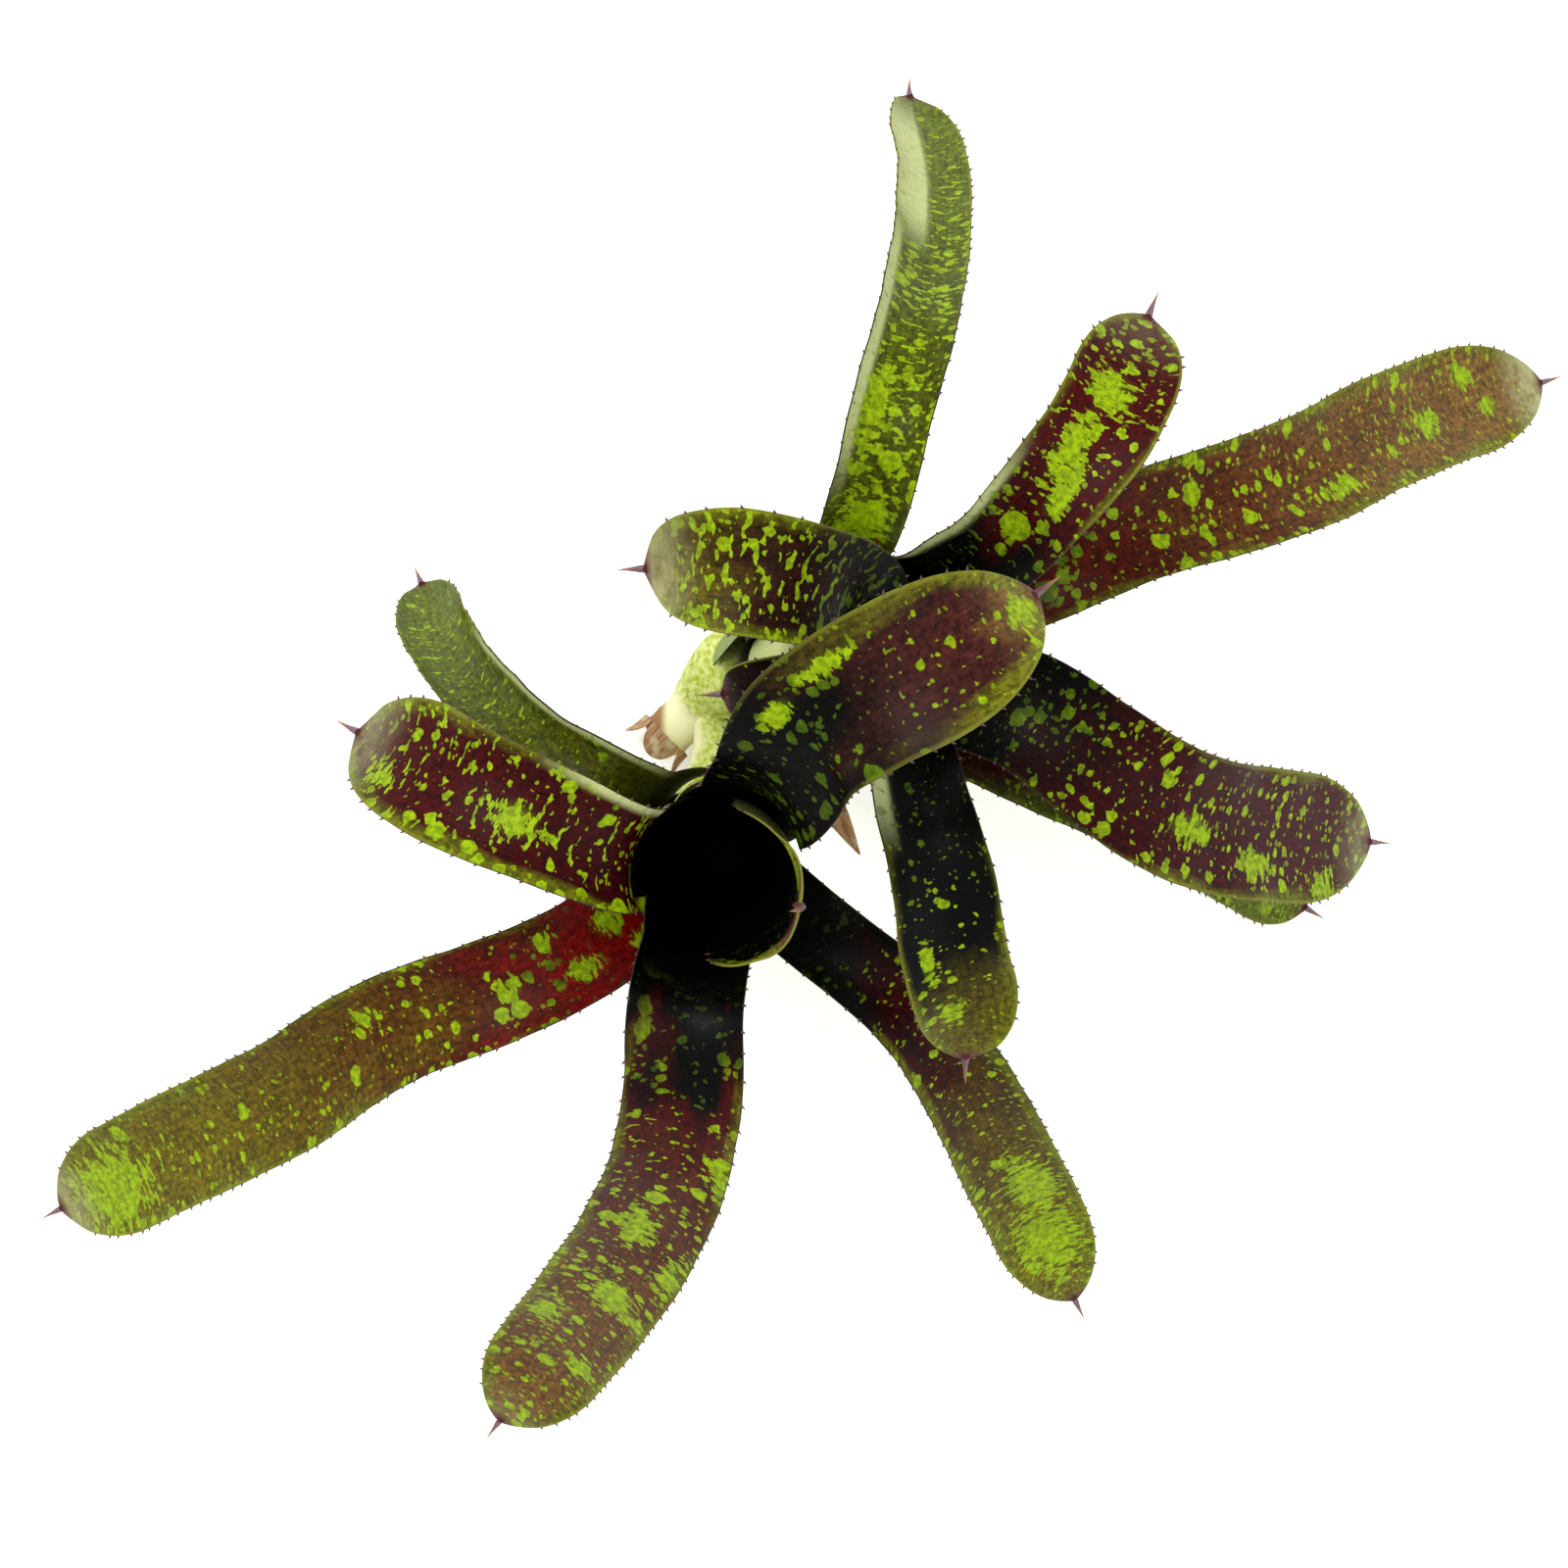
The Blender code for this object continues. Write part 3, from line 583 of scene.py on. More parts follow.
def new_group(name, inputs, outputs):
    """A node group; its inputs and outputs are listed by kind."""
    tree = bpy.data.node_groups.new(name, "ShaderNodeTree")
    for way, sockets in (("INPUT", inputs), ("OUTPUT", outputs)):
        for kind, names in sockets.items():
            for title in names:
                tree.interface.new_socket(title, in_out=way, socket_type="NodeSocket" + kind)
    return tree, tree.nodes.new("NodeGroupInput").outputs, tree.nodes.new("NodeGroupOutput")


def new_material(name):
    material = bpy.data.materials.new(name)
    material.use_nodes = True
    return material, material.node_tree, material.node_tree.nodes["Principled BSDF"]


# %% [markdown]
# Where on the leaf a point is, in millimetres. Each leaf reads its own slice of the patterns, so that no
# two leaves carry the same spots, and a pattern can be warped a little, which makes its edges ragged.

# %% The place on a leaf
SLICE_STEP = (83.0, 57.0, 11.0)


def leaf_place(tree, seed):
    """The vector (mm across, mm along, slice), moved to this leaf's own part of the patterns."""
    at = put("UVMap", {}, tree, uv_map="leaf_map").outputs[0]
    shift = tuple(step * seed for step in SLICE_STEP)
    return vector("MULTIPLY_ADD", at, (MAP_WIDTH, MAP_LENGTH, 1.0), shift)


def warped(place, scale, reach):
    """The place moved by up to half the reach in mm, by a noise of that scale."""
    wander = noise(place, scale, output="Color")
    shift = vector("MULTIPLY_ADD", wander, (reach, reach, 0.0), (-reach / 2, -reach / 2, 0.0))
    return vector("ADD", place, shift)


# %% [markdown]
# The lime markings are the plant's signature. On the living leaf they are islands of tissue without red
# pigment. Three sizes of cells give round spots of all sizes, a noise drawn out across the blade gives the
# cross streaks, which stop before the tip, and the listed patches are a soft hill cut off at half its
# height after noise is added, so their edges break up into spots.

# %% Lime spots
# For each size: the cell in mm, the share of cells with a spot, and the largest radius in cells.
SPOT_SIZES = ((5.6, 0.30, 0.42), (2.9, 0.42, 0.46), (1.5, 0.40, 0.45))
SMALLEST_SPOT = 0.10


def add_spots(place, amount, cell, share, largest):
    """A share of the cells of that size hold one round spot each."""
    at = stretched(place, 1.0 / cell, 1.0 / cell)
    cells = put("TexVoronoi", {"Vector": at, "Scale": 1.0}, voronoi_dimensions="2D")
    pick = put("SeparateColor", {0: cells.outputs["Color"]}).outputs[0]
    radius = times(span(pick, 1.0 - share, 1.0, SMALLEST_SPOT, largest, "LINEAR"), amount)
    gap = calc("SUBTRACT", radius, cells.outputs["Distance"])
    held = calc("GREATER_THAN", pick, 1.0 - share)
    return times(span(gap, -0.015, 0.035), held)


def spots_group():
    """Mask: large and middle spots, streaks and patches. Fleck: the small spots."""
    tree, given, result = new_group(
        "lime spots", {"Vector": ["Place"], "Float": ["Amount", "Tip", "Patch", "Streaks"]},
        {"Float": ["Mask", "Fleck"]},
    )
    place = given["Place"]
    wide = stretched(warped(place, 0.7, 1.5), 0.82, 1.0)
    crowd = span(noise(stretched(place, 1.0, 0.8), 0.075, 1.0), 0.36, 0.64, 0.55, 1.30)
    amount = times(given["Amount"], crowd)
    large, middle, small = [add_spots(wide, amount, *size) for size in SPOT_SIZES]
    drawn_out = stretched(warped(place, 0.30, 2.0), 0.36, 0.72)
    limit = calc("MULTIPLY_ADD", given["Streaks"], -0.12, 0.70)
    over = calc("SUBTRACT", noise(drawn_out, 1.0, 1.5), limit)
    streak = times(span(over, 0.0, 0.02), span(given["Tip"], 0.75, 0.95, 1.0, 0.0))
    ragged = noise(stretched(place, 0.6, 1.4), 0.60, 2.5, 0.55)
    hill = calc("ADD", given["Patch"], calc("MULTIPLY_ADD", ragged, 2.6, -1.3))
    patch = times(span(hill, 0.50, 0.58), span(given["Patch"], 0.08, 0.2))
    mask = calc("MAXIMUM", calc("MAXIMUM", large, middle), calc("MAXIMUM", patch, streak))
    wire(result, {"Mask": mask, "Fleck": small})
    return tree


LIME_SPOTS = spots_group()
print("lime spots:", len(LIME_SPOTS.nodes), "nodes")


# %% [markdown]
# The finish of a blade. Its ground colour runs through three tones on the way to the tip, a cream that
# stands for both a scurf of tiny scales and a painted sheen lies over the pale sides, a painted highlight
# with silvery scurf lies near the tip, and fine veins run along it in low relief. The back of a leaf is
# paler, with cross bands of the same scurf, which is how the plant drinks.

# %% Blade and back groups
LIME_DARK = (0.130, 0.190, 0.001)
LIME_BRIGHT = (0.245, 0.375, 0.002)
# A dark lime for the spots deep in the tube, dimmed by painted shade.
LIME_IN_TUBE_SHADE = (0.008, 0.026, 0.001)
LIME_WASH = (0.095, 0.160, 0.002)
GREEN_SIDE = (0.115, 0.125, 0.003)
OLIVE_EDGE = (0.17, 0.18, 0.012)
# A pale cream for the pale sides: scurf of tiny scales and painted sheen.
CREAM_SCURF_AND_SHEEN = (0.46, 0.50, 0.22)
# A painted highlight on the glossy leaf tips, with their silvery scurf.
TIP_HIGHLIGHT_AND_SCURF = (0.38, 0.38, 0.19)
PURPLE_TIP = (0.09, 0.022, 0.030)
BACK_SCURF = (0.28, 0.34, 0.11)
BACK_FOOT = (0.46, 0.50, 0.20)


def blade_group():
    """Ground, spots, margin and veins of the upper face."""
    tree, given, result = new_group(
        "blade finish",
        {
            "Vector": ["Place"],
            "Float": ["Along", "Across", "Left", "Patch", "Pale", "First turn", "Second turn", "Amount",
                      "Green from", "Tip highlight and scurf", "Streaks"],
            "Color": ["Root tone", "Middle tone", "Tip tone"],
        },
        {"Color": ["Colour"], "Float": ["Roughness", "Height"]},
    )
    place, along, patch = given["Place"], given["Along"], given["Patch"]

    # The three tones, with borders that wander a little.
    cloud = noise(stretched(place, 1.0, 0.45), 0.11, 3.0)
    share = calc("ADD", along, calc("MULTIPLY_ADD", cloud, 0.5, -0.25))
    turn, last_turn = given["First turn"], given["Second turn"]
    first = span(share, times(turn, 0.55), turn, curve="LINEAR")
    ground = blend(first, given["Root tone"], given["Middle tone"])
    ground = blend(span(share, turn, last_turn, curve="LINEAR"), ground, given["Tip tone"])

    # Green sides, more of them towards the tip.
    lean = calc("MULTIPLY_ADD", along, 0.18, given["Across"])
    lean = calc("ADD", lean, calc("MULTIPLY_ADD", cloud, 0.7, -0.35))
    lean = calc("ADD", lean, span(given["Left"], 0.0, 9.0, 0.45, 0.0))
    first_green = calc("ADD", given["Green from"], 0.10)
    last_green = calc("ADD", given["Green from"], 0.30)
    green = span(lean, first_green, last_green, curve="LINEAR")
    green = times(green, span(first, 0.1, 1.0))
    ground = blend(times(green, 0.85), ground, GREEN_SIDE)

    # Fine grain along the leaf, coarser mottling, and the cream of the pale sides, which is scurf and painted
    # sheen.
    grain = noise(stretched(place, 1.0, 0.10), 1.9, 3.0)
    mottle = noise(place, 0.9, 3.0, 0.6)
    shade = times(span(grain, 0.3, 0.7, 0.78, 1.2), span(mottle, 0.3, 0.7, 0.42, 1.22))
    ground = put("VectorMath", {0: ground, "Scale": shade}, operation="SCALE").outputs[0]
    scales = noise(stretched(place, 0.6, 1.0), 0.9, 4.0, 0.65)
    scurf_and_sheen = times(given["Pale"], span(scales, 0.22, 0.46))
    ground = blend(times(scurf_and_sheen, 0.85), ground, CREAM_SCURF_AND_SHEEN)

    # The lime markings, dimmed by painted shade in the tube and dimmed under the pale cream.
    values = {"Place": place, "Tip": along, "Patch": patch}
    values.update({name: given[name] for name in ("Amount", "Streaks")})
    spots = put("Group", values, node_tree=LIME_SPOTS)
    shown = calc("MAXIMUM", span(along, 0.04, 0.20), span(patch, 0.15, 0.5))
    shown = times(calc("SUBTRACT", 1.0, times(scurf_and_sheen, 0.8)), shown)
    # Painted shade: where the root tone holds, in the tube, the spots take the dark lime.
    lit = calc("MAXIMUM", span(first, 0.0, 1.0, 0.18, 1.0), span(patch, 0.2, 0.6))
    lime = blend(span(mottle, 0.35, 0.65), LIME_DARK, LIME_BRIGHT)
    lime = blend(lit, LIME_IN_TUBE_SHADE, lime)
    ground = blend(times(span(patch, 0.35, 0.95), 0.40), ground, LIME_WASH)
    ground = blend(times(spots.outputs["Fleck"], shown), ground, blend(0.35, lime, ground))
    ground = blend(times(spots.outputs["Mask"], shown), ground, lime)

    # The olive margin, the painted highlight with silvery scurf at the end of the blade and the purple at the
    # foot of the thorn.
    edge = times(span(given["Across"], 0.93, 0.98), span(share, 0.35, 0.75))
    ground = blend(times(edge, 0.6), ground, OLIVE_EDGE)
    # Painted highlight: a broken pale grey near the end of the blade stands for the light its gloss catches.
    tip_highlight_breakup = span(noise(place, 0.35, 3.0), 0.25, 0.6, 0.35, 1.0)
    tip_highlight_and_scurf = times(span(given["Left"], 3.0, 17.0, 1.0, 0.0), tip_highlight_breakup)
    ground = blend(times(tip_highlight_and_scurf, given["Tip highlight and scurf"]), ground, TIP_HIGHLIGHT_AND_SCURF)
    tip = span(given["Left"], 0.8, 3.6, 1.0, 0.0)
    ground = blend(times(tip, 0.85), ground, PURPLE_TIP)

    vein = noise(stretched(place, 1.0, 0.02), 1.5)
    height = calc("MULTIPLY_ADD", noise(place, 2.6, 3.0), 0.25, vein)
    roughness = span(mottle, 0.3, 0.7, 0.34, 0.50)
    wire(result, {"Colour": ground, "Roughness": roughness, "Height": height})
    return tree


def back_group():
    """The underside: dull green with cream scurf in broken cross bands."""
    tree, given, result = new_group(
        "back finish", {"Vector": ["Place"], "Float": ["Along"], "Color": ["Ground"]},
        {"Color": ["Colour"], "Float": ["Height"]},
    )
    place = given["Place"]
    band = span(noise(stretched(place, 0.10, 0.55), 1.0, 3.0, 0.6), 0.35, 0.60, 0.25, 1.0)
    speck = span(noise(place, 2.2, 3.0, 0.65), 0.35, 0.55, 0.35, 1.0)
    tone = blend(times(times(band, speck), 0.62), given["Ground"], BACK_SCURF)
    tone = blend(span(given["Along"], -0.60, -0.15, 0.75, 0.0), tone, BACK_FOOT)
    vein = noise(stretched(place, 1.0, 0.03), 1.5)
    wire(result, {"Colour": tone, "Height": vein})
    return tree


BLADE_FINISH = blade_group()
BACK_FINISH = back_group()
print("blade finish:", len(BLADE_FINISH.nodes), "nodes, back finish:", len(BACK_FINISH.nodes), "nodes")


# %% [markdown]
# The materials themselves. Each leaf gets an upper and a back material, which hold only its own tones and
# amounts and hand them to the shared groups. The rim, the spines and the thorns are alike on every leaf, so
# they share one material each. Living leaves are waxy but hardly shine, so the specular level is low.

# %% Leaf materials
BACK_GREEN = (0.09, 0.14, 0.01)


def upper_material(name, leaf, seed):
    material, tree, shader = new_material(name)
    root, middle, tip = leaf["tones"]
    values = {
        "Place": leaf_place(tree, seed), "Along": attribute(tree, "along_share"),
        "Across": attribute(tree, "edge_share"), "Left": attribute(tree, "tip_mm"),
        "Patch": attribute(tree, "patch"), "Pale": attribute(tree, "pale"),
        "Root tone": root, "Middle tone": middle, "Tip tone": tip,
        "First turn": leaf["turns"][0], "Second turn": leaf["turns"][1],
        **dict(zip(("Amount", "Green from", "Tip highlight and scurf", "Streaks"), leaf["marks"])),
    }
    finish = put("Group", values, node_tree=BLADE_FINISH).outputs
    wire(shader, {
        "Base Color": finish["Colour"], "Roughness": finish["Roughness"], "Specular IOR Level": 0.07,
        "Normal": bump(finish["Height"], 0.35),
    })
    return material


def back_material(name, tone, seed):
    """The back keeps four tenths of the upper face's tip tone."""
    material, tree, shader = new_material(name)
    ground = tuple(0.4 * part + 0.6 * other for part, other in zip(tone, BACK_GREEN))
    values = {"Place": leaf_place(tree, seed), "Along": attribute(tree, "along_share"), "Ground": ground}
    finish = put("Group", values, node_tree=BACK_FINISH).outputs
    wire(shader, {
        "Base Color": finish["Colour"], "Roughness": 0.6, "Specular IOR Level": 0.15,
        "Normal": bump(finish["Height"], 0.3),
    })
    return material


def plain_material(name, tone, roughness, **more):
    material, tree, shader = new_material(name)
    wire(shader, {"Base Color": tone, "Roughness": roughness, **more})
    return material


def shared_material(name, low, high, first, last, roughness, **more):
    """A tone that changes from the first to the last where the share along the piece is low to high."""
    material, tree, shader = new_material(name)
    tone = blend(span(attribute(tree, "along_share"), low, high), first, last)
    wire(shader, {"Base Color": tone, "Roughness": roughness, **more})
    return material


SPINE_FINISH = plain_material("spine brown", (0.060, 0.024, 0.012), 0.6)
# Purple-brown at the foot of the thorn, straw-brown at its point.
THORN_FINISH = shared_material("thorn", 0.25, 0.95, (0.085, 0.020, 0.032), (0.26, 0.11, 0.05), 0.5)
# The rim is dark near the tube, partly dark pigment and partly painted shade of the tube, and a thin olive
# line on the outer half.
RIM_FINISH = shared_material(
    "blade rim", 0.30, 0.75, (0.012, 0.009, 0.002), (0.15, 0.155, 0.015), 0.6, **{"Specular IOR Level": 0.1}
)
print("shared finishes:", SPINE_FINISH.name, THORN_FINISH.name, RIM_FINISH.name)


# %% [markdown]
# Now each leaf is put together: the two faces, the rim, the hooks along both margins and the end thorn, in
# one mesh with four slots. Values that the finish needs, such as how far along a point lies and where the
# large lime patches are, go with the points as plain numbers.


def patch_field(leaf, travel, length, across, half):
    """The highest of the leaf's patches at each point: a hill of exp(-(distance over half size) squared)."""
    field = np.zeros((len(travel), len(across)))
    for share, side, long_mm, wide_mm in leaf["patches"]:
        lengthways = (travel[:, None] - share * length) / long_mm
        sideways = (across[None, :] - side) * half[:, None] / wide_mm
        field = np.maximum(field, np.exp(-0.7 * (lengthways**2 + sideways**2)))
    return field


# Where the pale cream of scurf and painted sheen lies on the upper face.
def pale_field(leaf, travel, length, across):
    field = np.zeros((len(travel), len(across)))
    share = travel / length
    for side, first, last, inner in leaf["pale"]:
        window = ease((share - first + 0.08) / 0.12) * ease((last + 0.08 - share) / 0.16)
        field = np.maximum(field, window[:, None] * ease((side * across[None, :] - inner) / 0.16))
    return field


def make_leaf(name, leaf, seed):
    random = np.random.default_rng(seed)
    sections = leaf_sections(leaf)
    upper, lower, middle, across = leaf_faces(sections, COLUMNS, seed)
    spine, left, up, along, half, channel, travel, length = sections
    rows = len(travel)
    points = [upper.reshape(-1, 3), lower.reshape(-1, 3)]
    faces = blade_faces(rows, COLUMNS)
    slots = [UPPER_SLOT, LOWER_SLOT, RIM_SLOT]

    def add_cones(slot, *shape):
        made, quads, caps = bent_cones(*shape, sum(len(block) for block in points))
        points.append(made)
        faces.extend([quads, caps])
        slots.extend([slot, slot])

    for column, inner in ((0, 2), (COLUMNS - 1, COLUMNS - 3)):
        roots, outward, ahead, sizes = margin_hooks(middle, along, travel, length, column, inner, random)
        add_cones(SPINE_SLOT, roots, outward, ahead, HOOK_LENGTH * sizes, HOOK_RADIUS, HOOK_BEND)
    add_cones(THORN_SLOT, spine[-1:], along[-1:], up[-1:], [THORN_LENGTH], THORN_RADIUS, THORN_BEND)
    title = name.replace("leaf_", "")
    back = back_material("back " + title, leaf["tones"][2], seed)
    materials = [upper_material("upper " + title, leaf, seed), back, RIM_FINISH, SPINE_FINISH, THORN_FINISH]
    blade = new_object("blade_" + title, points, faces, slots, materials)
    extra = np.zeros(len(blade.data.vertices) - 2 * rows * COLUMNS)
    extra[-HOOK_RINGS * HOOK_SIDES:] = np.repeat(np.linspace(0.0, 1.0, HOOK_RINGS), HOOK_SIDES)

    def spread(grid):
        return np.concatenate([np.tile(np.broadcast_to(grid, (rows, COLUMNS)).ravel(), 2), extra])

    map_surface(blade, spread(across[None, :] * half[:, None]), spread(travel[:, None]))
    values = {
        "along_share": (travel / length)[:, None], "edge_share": np.abs(across)[None, :],
        "tip_mm": (length - travel)[:, None], "patch": patch_field(leaf, travel, length, across, half),
        "pale": pale_field(leaf, travel, length, across),
    }
    for title, grid in values.items():
        point_value(blade, title, spread(grid))
    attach(blade, "root")
    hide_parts(name)
    return blade


blades = [make_leaf(name, leaf, seed + 1) for seed, (name, leaf) in enumerate(LEAVES.items())]
print(len(blades), "blades,", sum(len(blade.data.polygons) for blade in blades), "faces")


# %% [markdown]
# The bare stem. A cut runner comes in from the left and forks into the two short stems that the leaves
# stand on. It is a tube swept along a path, with a low ridge for every scar of a fallen leaf, and it is
# flattened where the plant rests on it. Inside the tubes its top is painted black, as painted shade, as dark
# as the cups look from above.

# %% The stem
STOLON_HEIGHT = 4.7
STOLON_PATH = [(-3.5, -4.0, STOLON_HEIGHT), (2.5, 2.0, STOLON_HEIGHT), (8.0, 7.0, 7.5)]
BRANCH_PATH = [(8.5, 5.0, 7.4), (9.0, -4.0, 6.8), (8.5, -13.0, 8.0)]
COLLAR_GAP = 0.3
STEM_TOP = 0.36
STEM_SIDES = 48
STEM_ROWS = 90
SCAR_PITCH = 3.4
SCAR_WIDTH = 0.45
SCAR_HEIGHT = 0.16


def core_radius(shoot, share):
    """The stem just inside the foot of each leaf, where that leaf starts."""
    outermost = sum(leaf["shoot"] == shoot for leaf in LEAVES.values()) - 1
    lowest = layer_radius(outermost, FIRST_START)
    top_start = FIRST_START + START_STEP * outermost
    highest = layer_radius(0, top_start)
    radius = np.interp(share, [FIRST_START, top_start], [lowest, highest])
    return radius - LEAF_THICKNESS / 2.0 - COLLAR_GAP


def tube_points(path, side, top, width):
    """Place + side * r cos t + top * r sin t, for each place on the path."""
    turn = np.arange(STEM_SIDES) * 2.0 * math.pi / STEM_SIDES
    ring = side * np.cos(turn)[:, None] + top * np.sin(turn)[:, None]
    return (path[:, None] + ring * width[:, None, None]).reshape(-1, 3)


def tube_faces(rows, first):
    """The tube's quads and its two caps, turned to look outward where side, top and path are left-handed."""
    index = first + np.arange(rows * STEM_SIDES).reshape(rows, STEM_SIDES)
    near, far = index[:-1], index[1:]
    quads = np.stack([near, np.roll(near, -1, axis=1), np.roll(far, -1, axis=1), far], axis=-1)
    return quads.reshape(-1, 4), np.stack([index[0][::-1], index[-1]])


def stem_tube(shoot, lead, first):
    """Rings around the smooth path through the lead and the shoot's cone, swollen at each leaf scar."""
    cone = axis_point(shoot, np.linspace(0.0, STEM_TOP - 0.02, 6))
    radii = core_radius(shoot, np.linspace(0.0, STEM_TOP - 0.02, 6))
    radii[-1] *= 0.6
    coarse = np.vstack([lead, cone])
    widths = np.concatenate([[STOLON_RADIUS, STOLON_RADIUS, radii[0] * 0.8], radii])
    steps = np.concatenate([[0.0], np.cumsum(np.linalg.norm(np.diff(coarse, axis=0), axis=1))])
    path, at = smooth_path(coarse, np.linspace(0.0, 1.0, STEM_ROWS))
    width = np.interp(at * steps[-1] / at[-1], steps, widths)
    scar = np.exp(-(((at % SCAR_PITCH) - SCAR_PITCH / 2.0) / SCAR_WIDTH) ** 2)
    width = width * (1.0 - 0.012) - SCAR_HEIGHT + SCAR_HEIGHT * scar
    end = np.minimum(at, at[-1] - at)
    width = width * np.sqrt(np.clip(end / 1.2, 0.0, 1.0) * 0.35 + 0.65)
    along = unit(np.gradient(path, at, axis=0))
    side = unit(np.cross(along, (0.0, 0.35, 1.0)))
    top = np.cross(side, along)
    points = tube_points(path, side[:, None], top[:, None], width)
    points[:, 2] = np.maximum(points[:, 2], 0.0)
    quads, caps = tube_faces(STEM_ROWS, first)
    return points, quads[:, [0, 3, 2, 1]], caps[:, ::-1]


def stem_material():
    """Lime with fibres, cream and then brown towards the cut end, painted black as shade inside the tubes."""
    material, tree, shader = new_material("stem lime")
    at = object_place(tree)
    x, y, z = put("SeparateXYZ", {0: at}).outputs
    fibre = noise(stretched(at, 1.0, 1.0, 0.2), 900.0, 3.0)
    tone = blend(span(fibre, 0.35, 0.65), (0.30, 0.38, 0.02), (0.55, 0.58, 0.20))
    low = span(z, 0.0095, 0.0125, 1.0, 0.0)
    cream = times(span(calc("ADD", x, y), 0.003, 0.012, 1.0, 0.0), low)
    tone = blend(cream, tone, (0.72, 0.70, 0.42))
    dry = times(span(x, -0.0035, -0.0012, 1.0, 0.0), low)
    tone = blend(dry, tone, (0.28, 0.14, 0.06))
    # Painted shade: the stem is made black where it stands inside the tubes.
    tone = blend(span(z, 0.026, 0.034), tone, (0.002, 0.0015, 0.001))
    wire(shader, {
        "Base Color": tone, "Roughness": 0.75, "Specular IOR Level": 0.15, "Normal": bump(fibre, 0.4),
    })
    return material


def make_stem():
    stolon, stolon_quads, stolon_caps = stem_tube("b", STOLON_PATH, 0)
    branch, branch_quads, branch_caps = stem_tube("a", BRANCH_PATH, len(stolon))
    faces = [stolon_quads, branch_quads, stolon_caps, branch_caps]
    made = new_object("forked_stem", [stolon, branch], faces, [0, 0, 0, 0], [stem_material()])
    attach(made, "root")
    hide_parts("stem")
    return made


forked_stem = make_stem()
print("stem:", len(forked_stem.data.polygons), "faces")


# %% [markdown]
# The heart of each shoot. In the middle of a tube the youngest leaves are still rolled tight, and they close
# it, so no light comes up from below and the cup can hold rain. A low dome around the shoot's axis stands
# for them: a tube whose radius falls to nothing, dull green outside the cup, and painted black on top as the
# shade deep in the cup.

# %% The rolled hearts
HEART_START = 0.27
HEART_TOP = 0.45
HEART_ROWS = 24


def heart_points(shoot, layer):
    """The radius is that inside the sheath of the layer, and falls as a dome over the last six tenths."""
    rise = np.linspace(0.0, 1.0, HEART_ROWS)
    dome = np.clip((rise - 0.4) / 0.6, 0.0, 1.0)
    shares = HEART_START + (HEART_TOP - HEART_START) * rise
    radius = (layer_radius(layer, shares) - 0.3) * np.sqrt(1.0 - 0.998 * dome**2)
    axis = axis_direction(shoot)
    side = unit(np.cross(axis, (0.0, 1.0, 0.0)))
    front = np.cross(axis, side)
    return tube_points(axis_point(shoot, shares), side, front, radius)


def make_heart(shoot, layer):
    material, tree, shader = new_material("rolled heart " + shoot)
    height = put("SeparateXYZ", {0: object_place(tree)}).outputs[2]
    # Painted shade: the top of the dome, deep in the cup, is black.
    tone = blend(span(height, 0.036, 0.042), (0.10, 0.12, 0.02), BLACK)
    wire(shader, {"Base Color": tone, "Roughness": 0.9, "Specular IOR Level": 0.05})
    points = [heart_points(shoot, layer)]
    made = new_object("heart_" + shoot, points, tube_faces(HEART_ROWS, 0), [0, 0], [material])
    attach(made, "root")


make_heart("a", 3.0)
make_heart("b", 1.5)


# %% [markdown]
# Dry scales and the bract. Three short papery scales hug the cut end of the runner, and one dry bract
# stands up between the two tubes. They are the same kind of channelled blade as a leaf, only short, thin
# and brown, with torn-looking fibres in relief.

# %% Papery pieces
SCALE_ANGLES = {"scale_top": 5, "scale_left": 93, "scale_right": -83}
SCALE_LENGTH = 5.5
SCALE_HALF_WIDTH = 4.4
SCALE_GAP = 0.35
SCALE_START = 0.75
SCALE_FLARE = 0.8
BRACT_PATH = [(21.3, -0.3, 14.2), (28.0, -10.5, 23.0), (34.0, -20.0, 31.5), (38.0, -27.0, 37.0)]
BRACT_HALF_WIDTH = 4.6
PAPER_COLUMNS = 17
PAPER_ROWS = 40


def paper_material():
    material, tree, shader = new_material("dry paper")
    place = leaf_place(tree, 3.0)
    fibre = noise(stretched(place, 1.0, 0.07), 2.2, 4.0, 0.6)
    tone = blend(span(fibre, 0.32, 0.66), (0.16, 0.060, 0.018), (0.42, 0.24, 0.11))
    tone = blend(span(noise(place, 0.35, 3.0), 0.48, 0.70), tone, (0.42, 0.33, 0.20))
    wire(shader, {"Base Color": tone, "Roughness": 0.75, "Normal": bump(fibre, 0.6, 0.0003)})
    return material


PAPER_FINISH = paper_material()


def make_paper(name, node, spine, left, up, along, half, channel):
    travel = np.concatenate([[0.0], np.cumsum(np.linalg.norm(np.diff(spine, axis=0), axis=1))])
    sections = (spine, left, up, along, half, channel, travel, travel[-1])
    upper, lower, _, across = leaf_faces(sections, PAPER_COLUMNS, 2.0, 0.5, 0.0)
    faces = blade_faces(PAPER_ROWS, PAPER_COLUMNS)
    points = [upper.reshape(-1, 3), lower.reshape(-1, 3)]
    made = new_object(name, points, faces, [0, 0, 0], [PAPER_FINISH])
    across_mm = (across[None, :] * half[:, None]).ravel()
    map_surface(made, np.tile(across_mm, 2), np.tile(np.repeat(travel, PAPER_COLUMNS), 2))
    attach(made, "root")
    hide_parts(node)


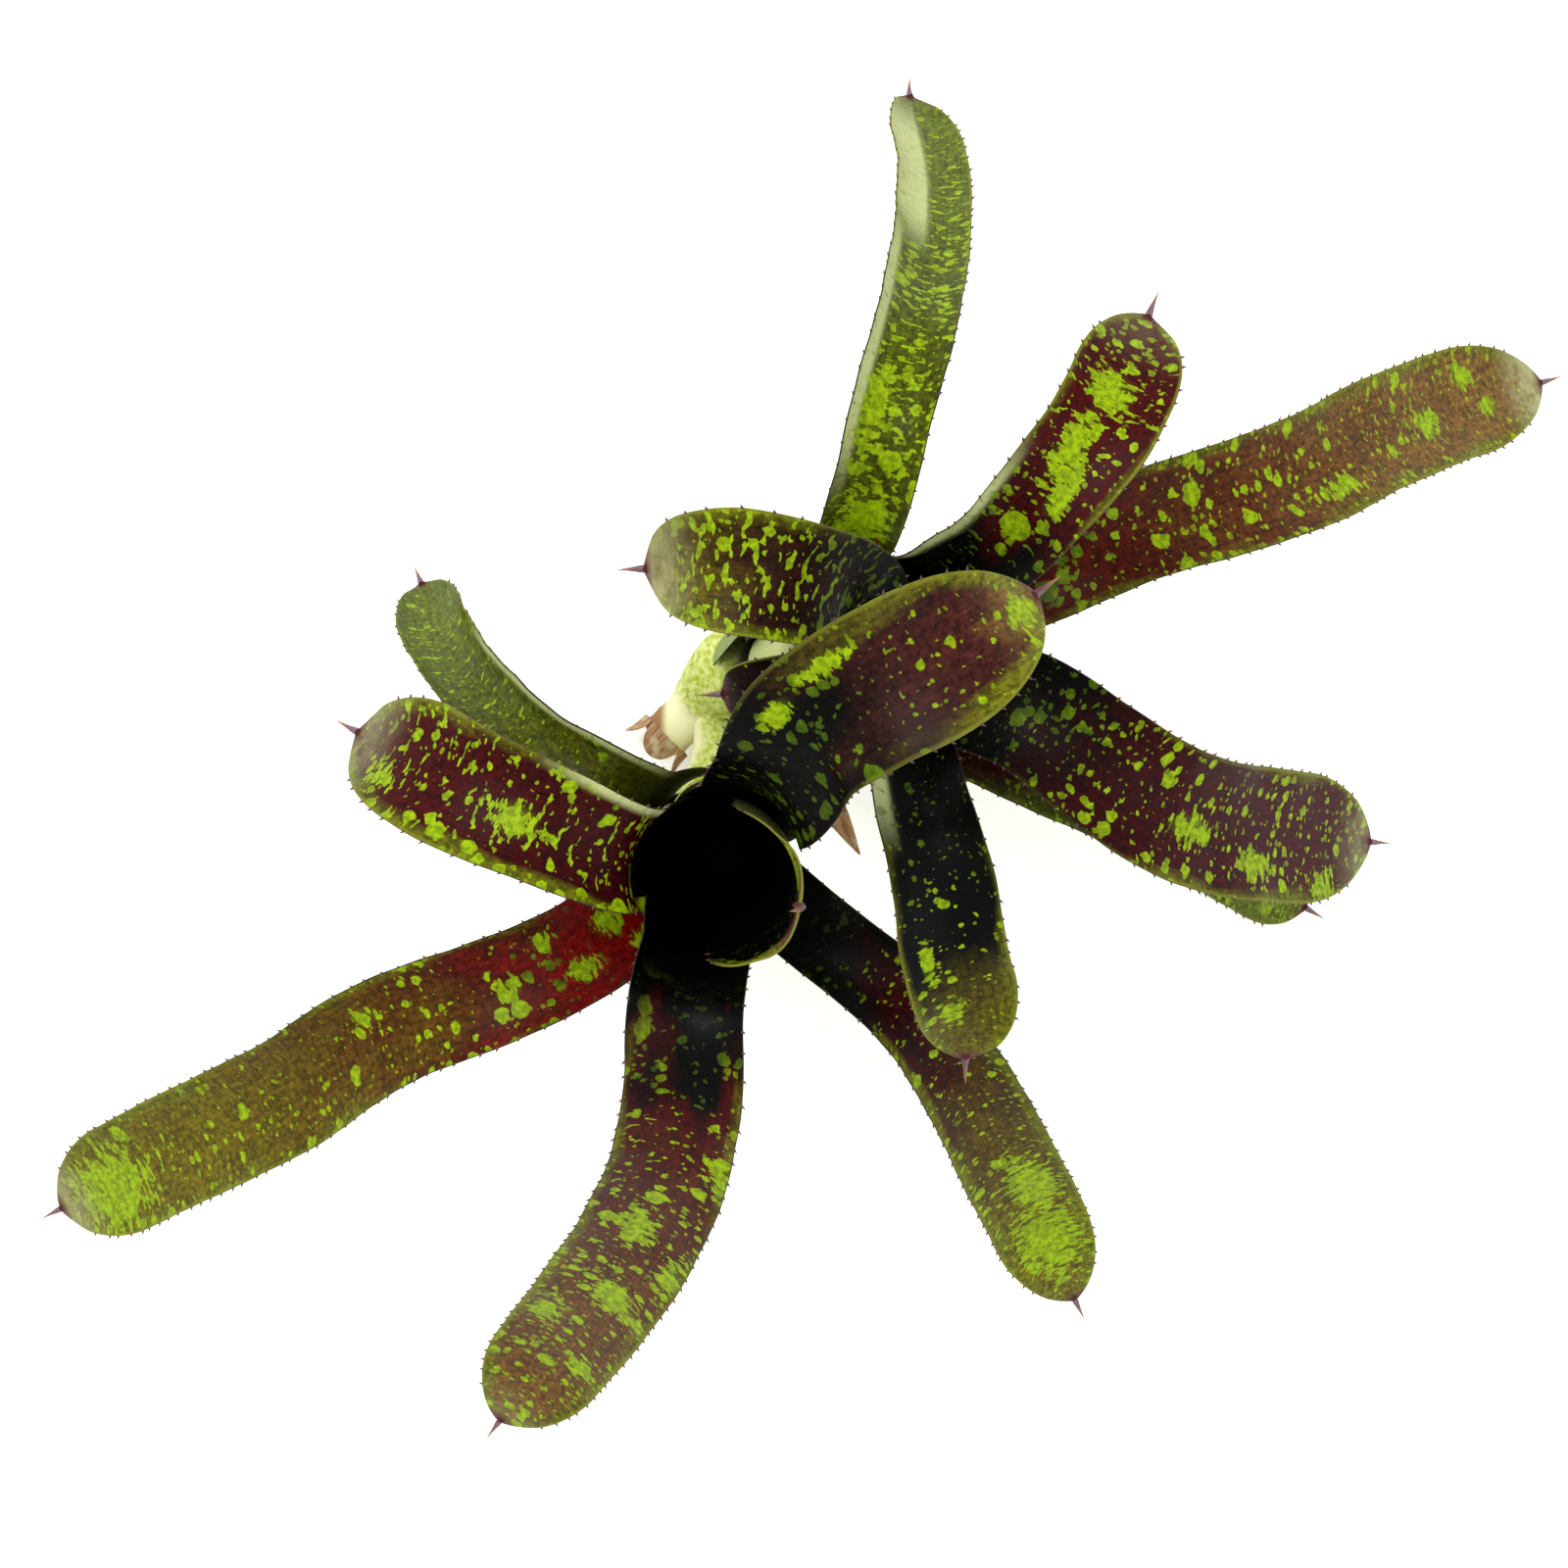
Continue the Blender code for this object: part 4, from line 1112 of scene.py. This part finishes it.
def make_scales():
    start, stop = np.array(STOLON_PATH[1]), np.array(STOLON_PATH[0])
    along = unit(stop - start)
    start = start + (stop - start) * SCALE_START
    level = unit(np.array([-along[1], along[0], 0.0]))
    top = np.cross(along, level)
    shares = np.linspace(0.0, 1.0, PAPER_ROWS)
    half = SCALE_HALF_WIDTH * np.sqrt(1.0 - shares**2 * 0.99)
    radius = STOLON_RADIUS + SCALE_GAP + LEAF_THICKNESS / 2.0
    for node, degrees in SCALE_ANGLES.items():
        turn = math.radians(degrees)
        outward = top * math.cos(turn) + level * math.sin(turn)
        reach = radius + SCALE_FLARE * shares**2
        spine = start + along * (SCALE_LENGTH * shares)[:, None] + outward * reach[:, None]
        left = np.tile(np.cross(-outward, along), (PAPER_ROWS, 1))
        up = np.tile(-outward, (PAPER_ROWS, 1))
        ahead = np.tile(along, (PAPER_ROWS, 1))
        make_paper("papery_" + node, node, spine, left, up, ahead, half, half / radius)


def make_bract():
    shares = np.linspace(0.0, 0.995, PAPER_ROWS)
    spine, at = smooth_path(BRACT_PATH, shares)
    along = unit(np.gradient(spine, at, axis=0))
    left = unit(np.stack([-along[:, 1], along[:, 0], np.zeros(len(along))], axis=1))
    up = np.cross(along, left)
    half = BRACT_HALF_WIDTH * (1.0 - shares**2.5)
    make_paper("papery_bract", "dry_bract", spine, left, up, along, half, np.full(len(shares), 0.7))


make_scales()
make_bract()


# %% [markdown]
# The set. The plant lies on a plain white table and the camera looks straight down on it. One large soft
# light hangs above, towards the top left, a weaker one opposite, and a white sky fills the shadows, so the
# table shows only faint ones. The table glows a little, because the real one came out pure white.

# %% Table, light and camera
def make_table():
    corner = 1.6
    place = -0.0005
    corners = [(x * corner, y * corner, place) for x, y in ((-1, -1), (1, -1), (1, 1), (-1, 1))]
    mesh = bpy.data.meshes.new("table")
    mesh.from_pydata(corners, [], [(0, 1, 2, 3)])
    glow = {"Emission Color": (1.0, 1.0, 1.0), "Emission Strength": 0.3}
    mesh.materials.append(plain_material("white table", (0.94, 0.94, 0.93), 0.8, **glow))
    made = bpy.data.objects.new("table", mesh)
    bpy.context.scene.collection.objects.link(made)


def make_light(name, place, size, watts):
    """A square light that looks at the middle of the plant."""
    light = bpy.data.lights.new(name, "AREA")
    light.shape = "SQUARE"
    light.size = size
    light.energy = watts
    made = bpy.data.objects.new(name, light)
    made.location = place
    made.rotation_euler = (Vector(place) - Vector((0.0, 0.0, 0.05))).to_track_quat("Z", "Y").to_euler()
    bpy.context.scene.collection.objects.link(made)


make_table()
make_light("soft_box", (-0.35, 0.45, 1.0), 0.7, 9.0)
make_light("fill_box", (0.8, -0.5, 0.9), 1.0, 4.0)

world = bpy.data.worlds.new("studio")
world.use_nodes = True
wire(world.node_tree.nodes["Background"], {0: (1.0, 1.0, 1.0), 1: 1.0})
bpy.context.scene.world = world

lens = bpy.data.cameras.new("camera")
lens.lens = 45.0
lens.sensor_width = 36.0
camera = bpy.data.objects.new("camera", lens)
camera.location = (0.023, -0.013, 0.423)
bpy.context.scene.collection.objects.link(camera)
bpy.context.scene.camera = camera
bpy.context.scene.view_settings.view_transform = "Standard"
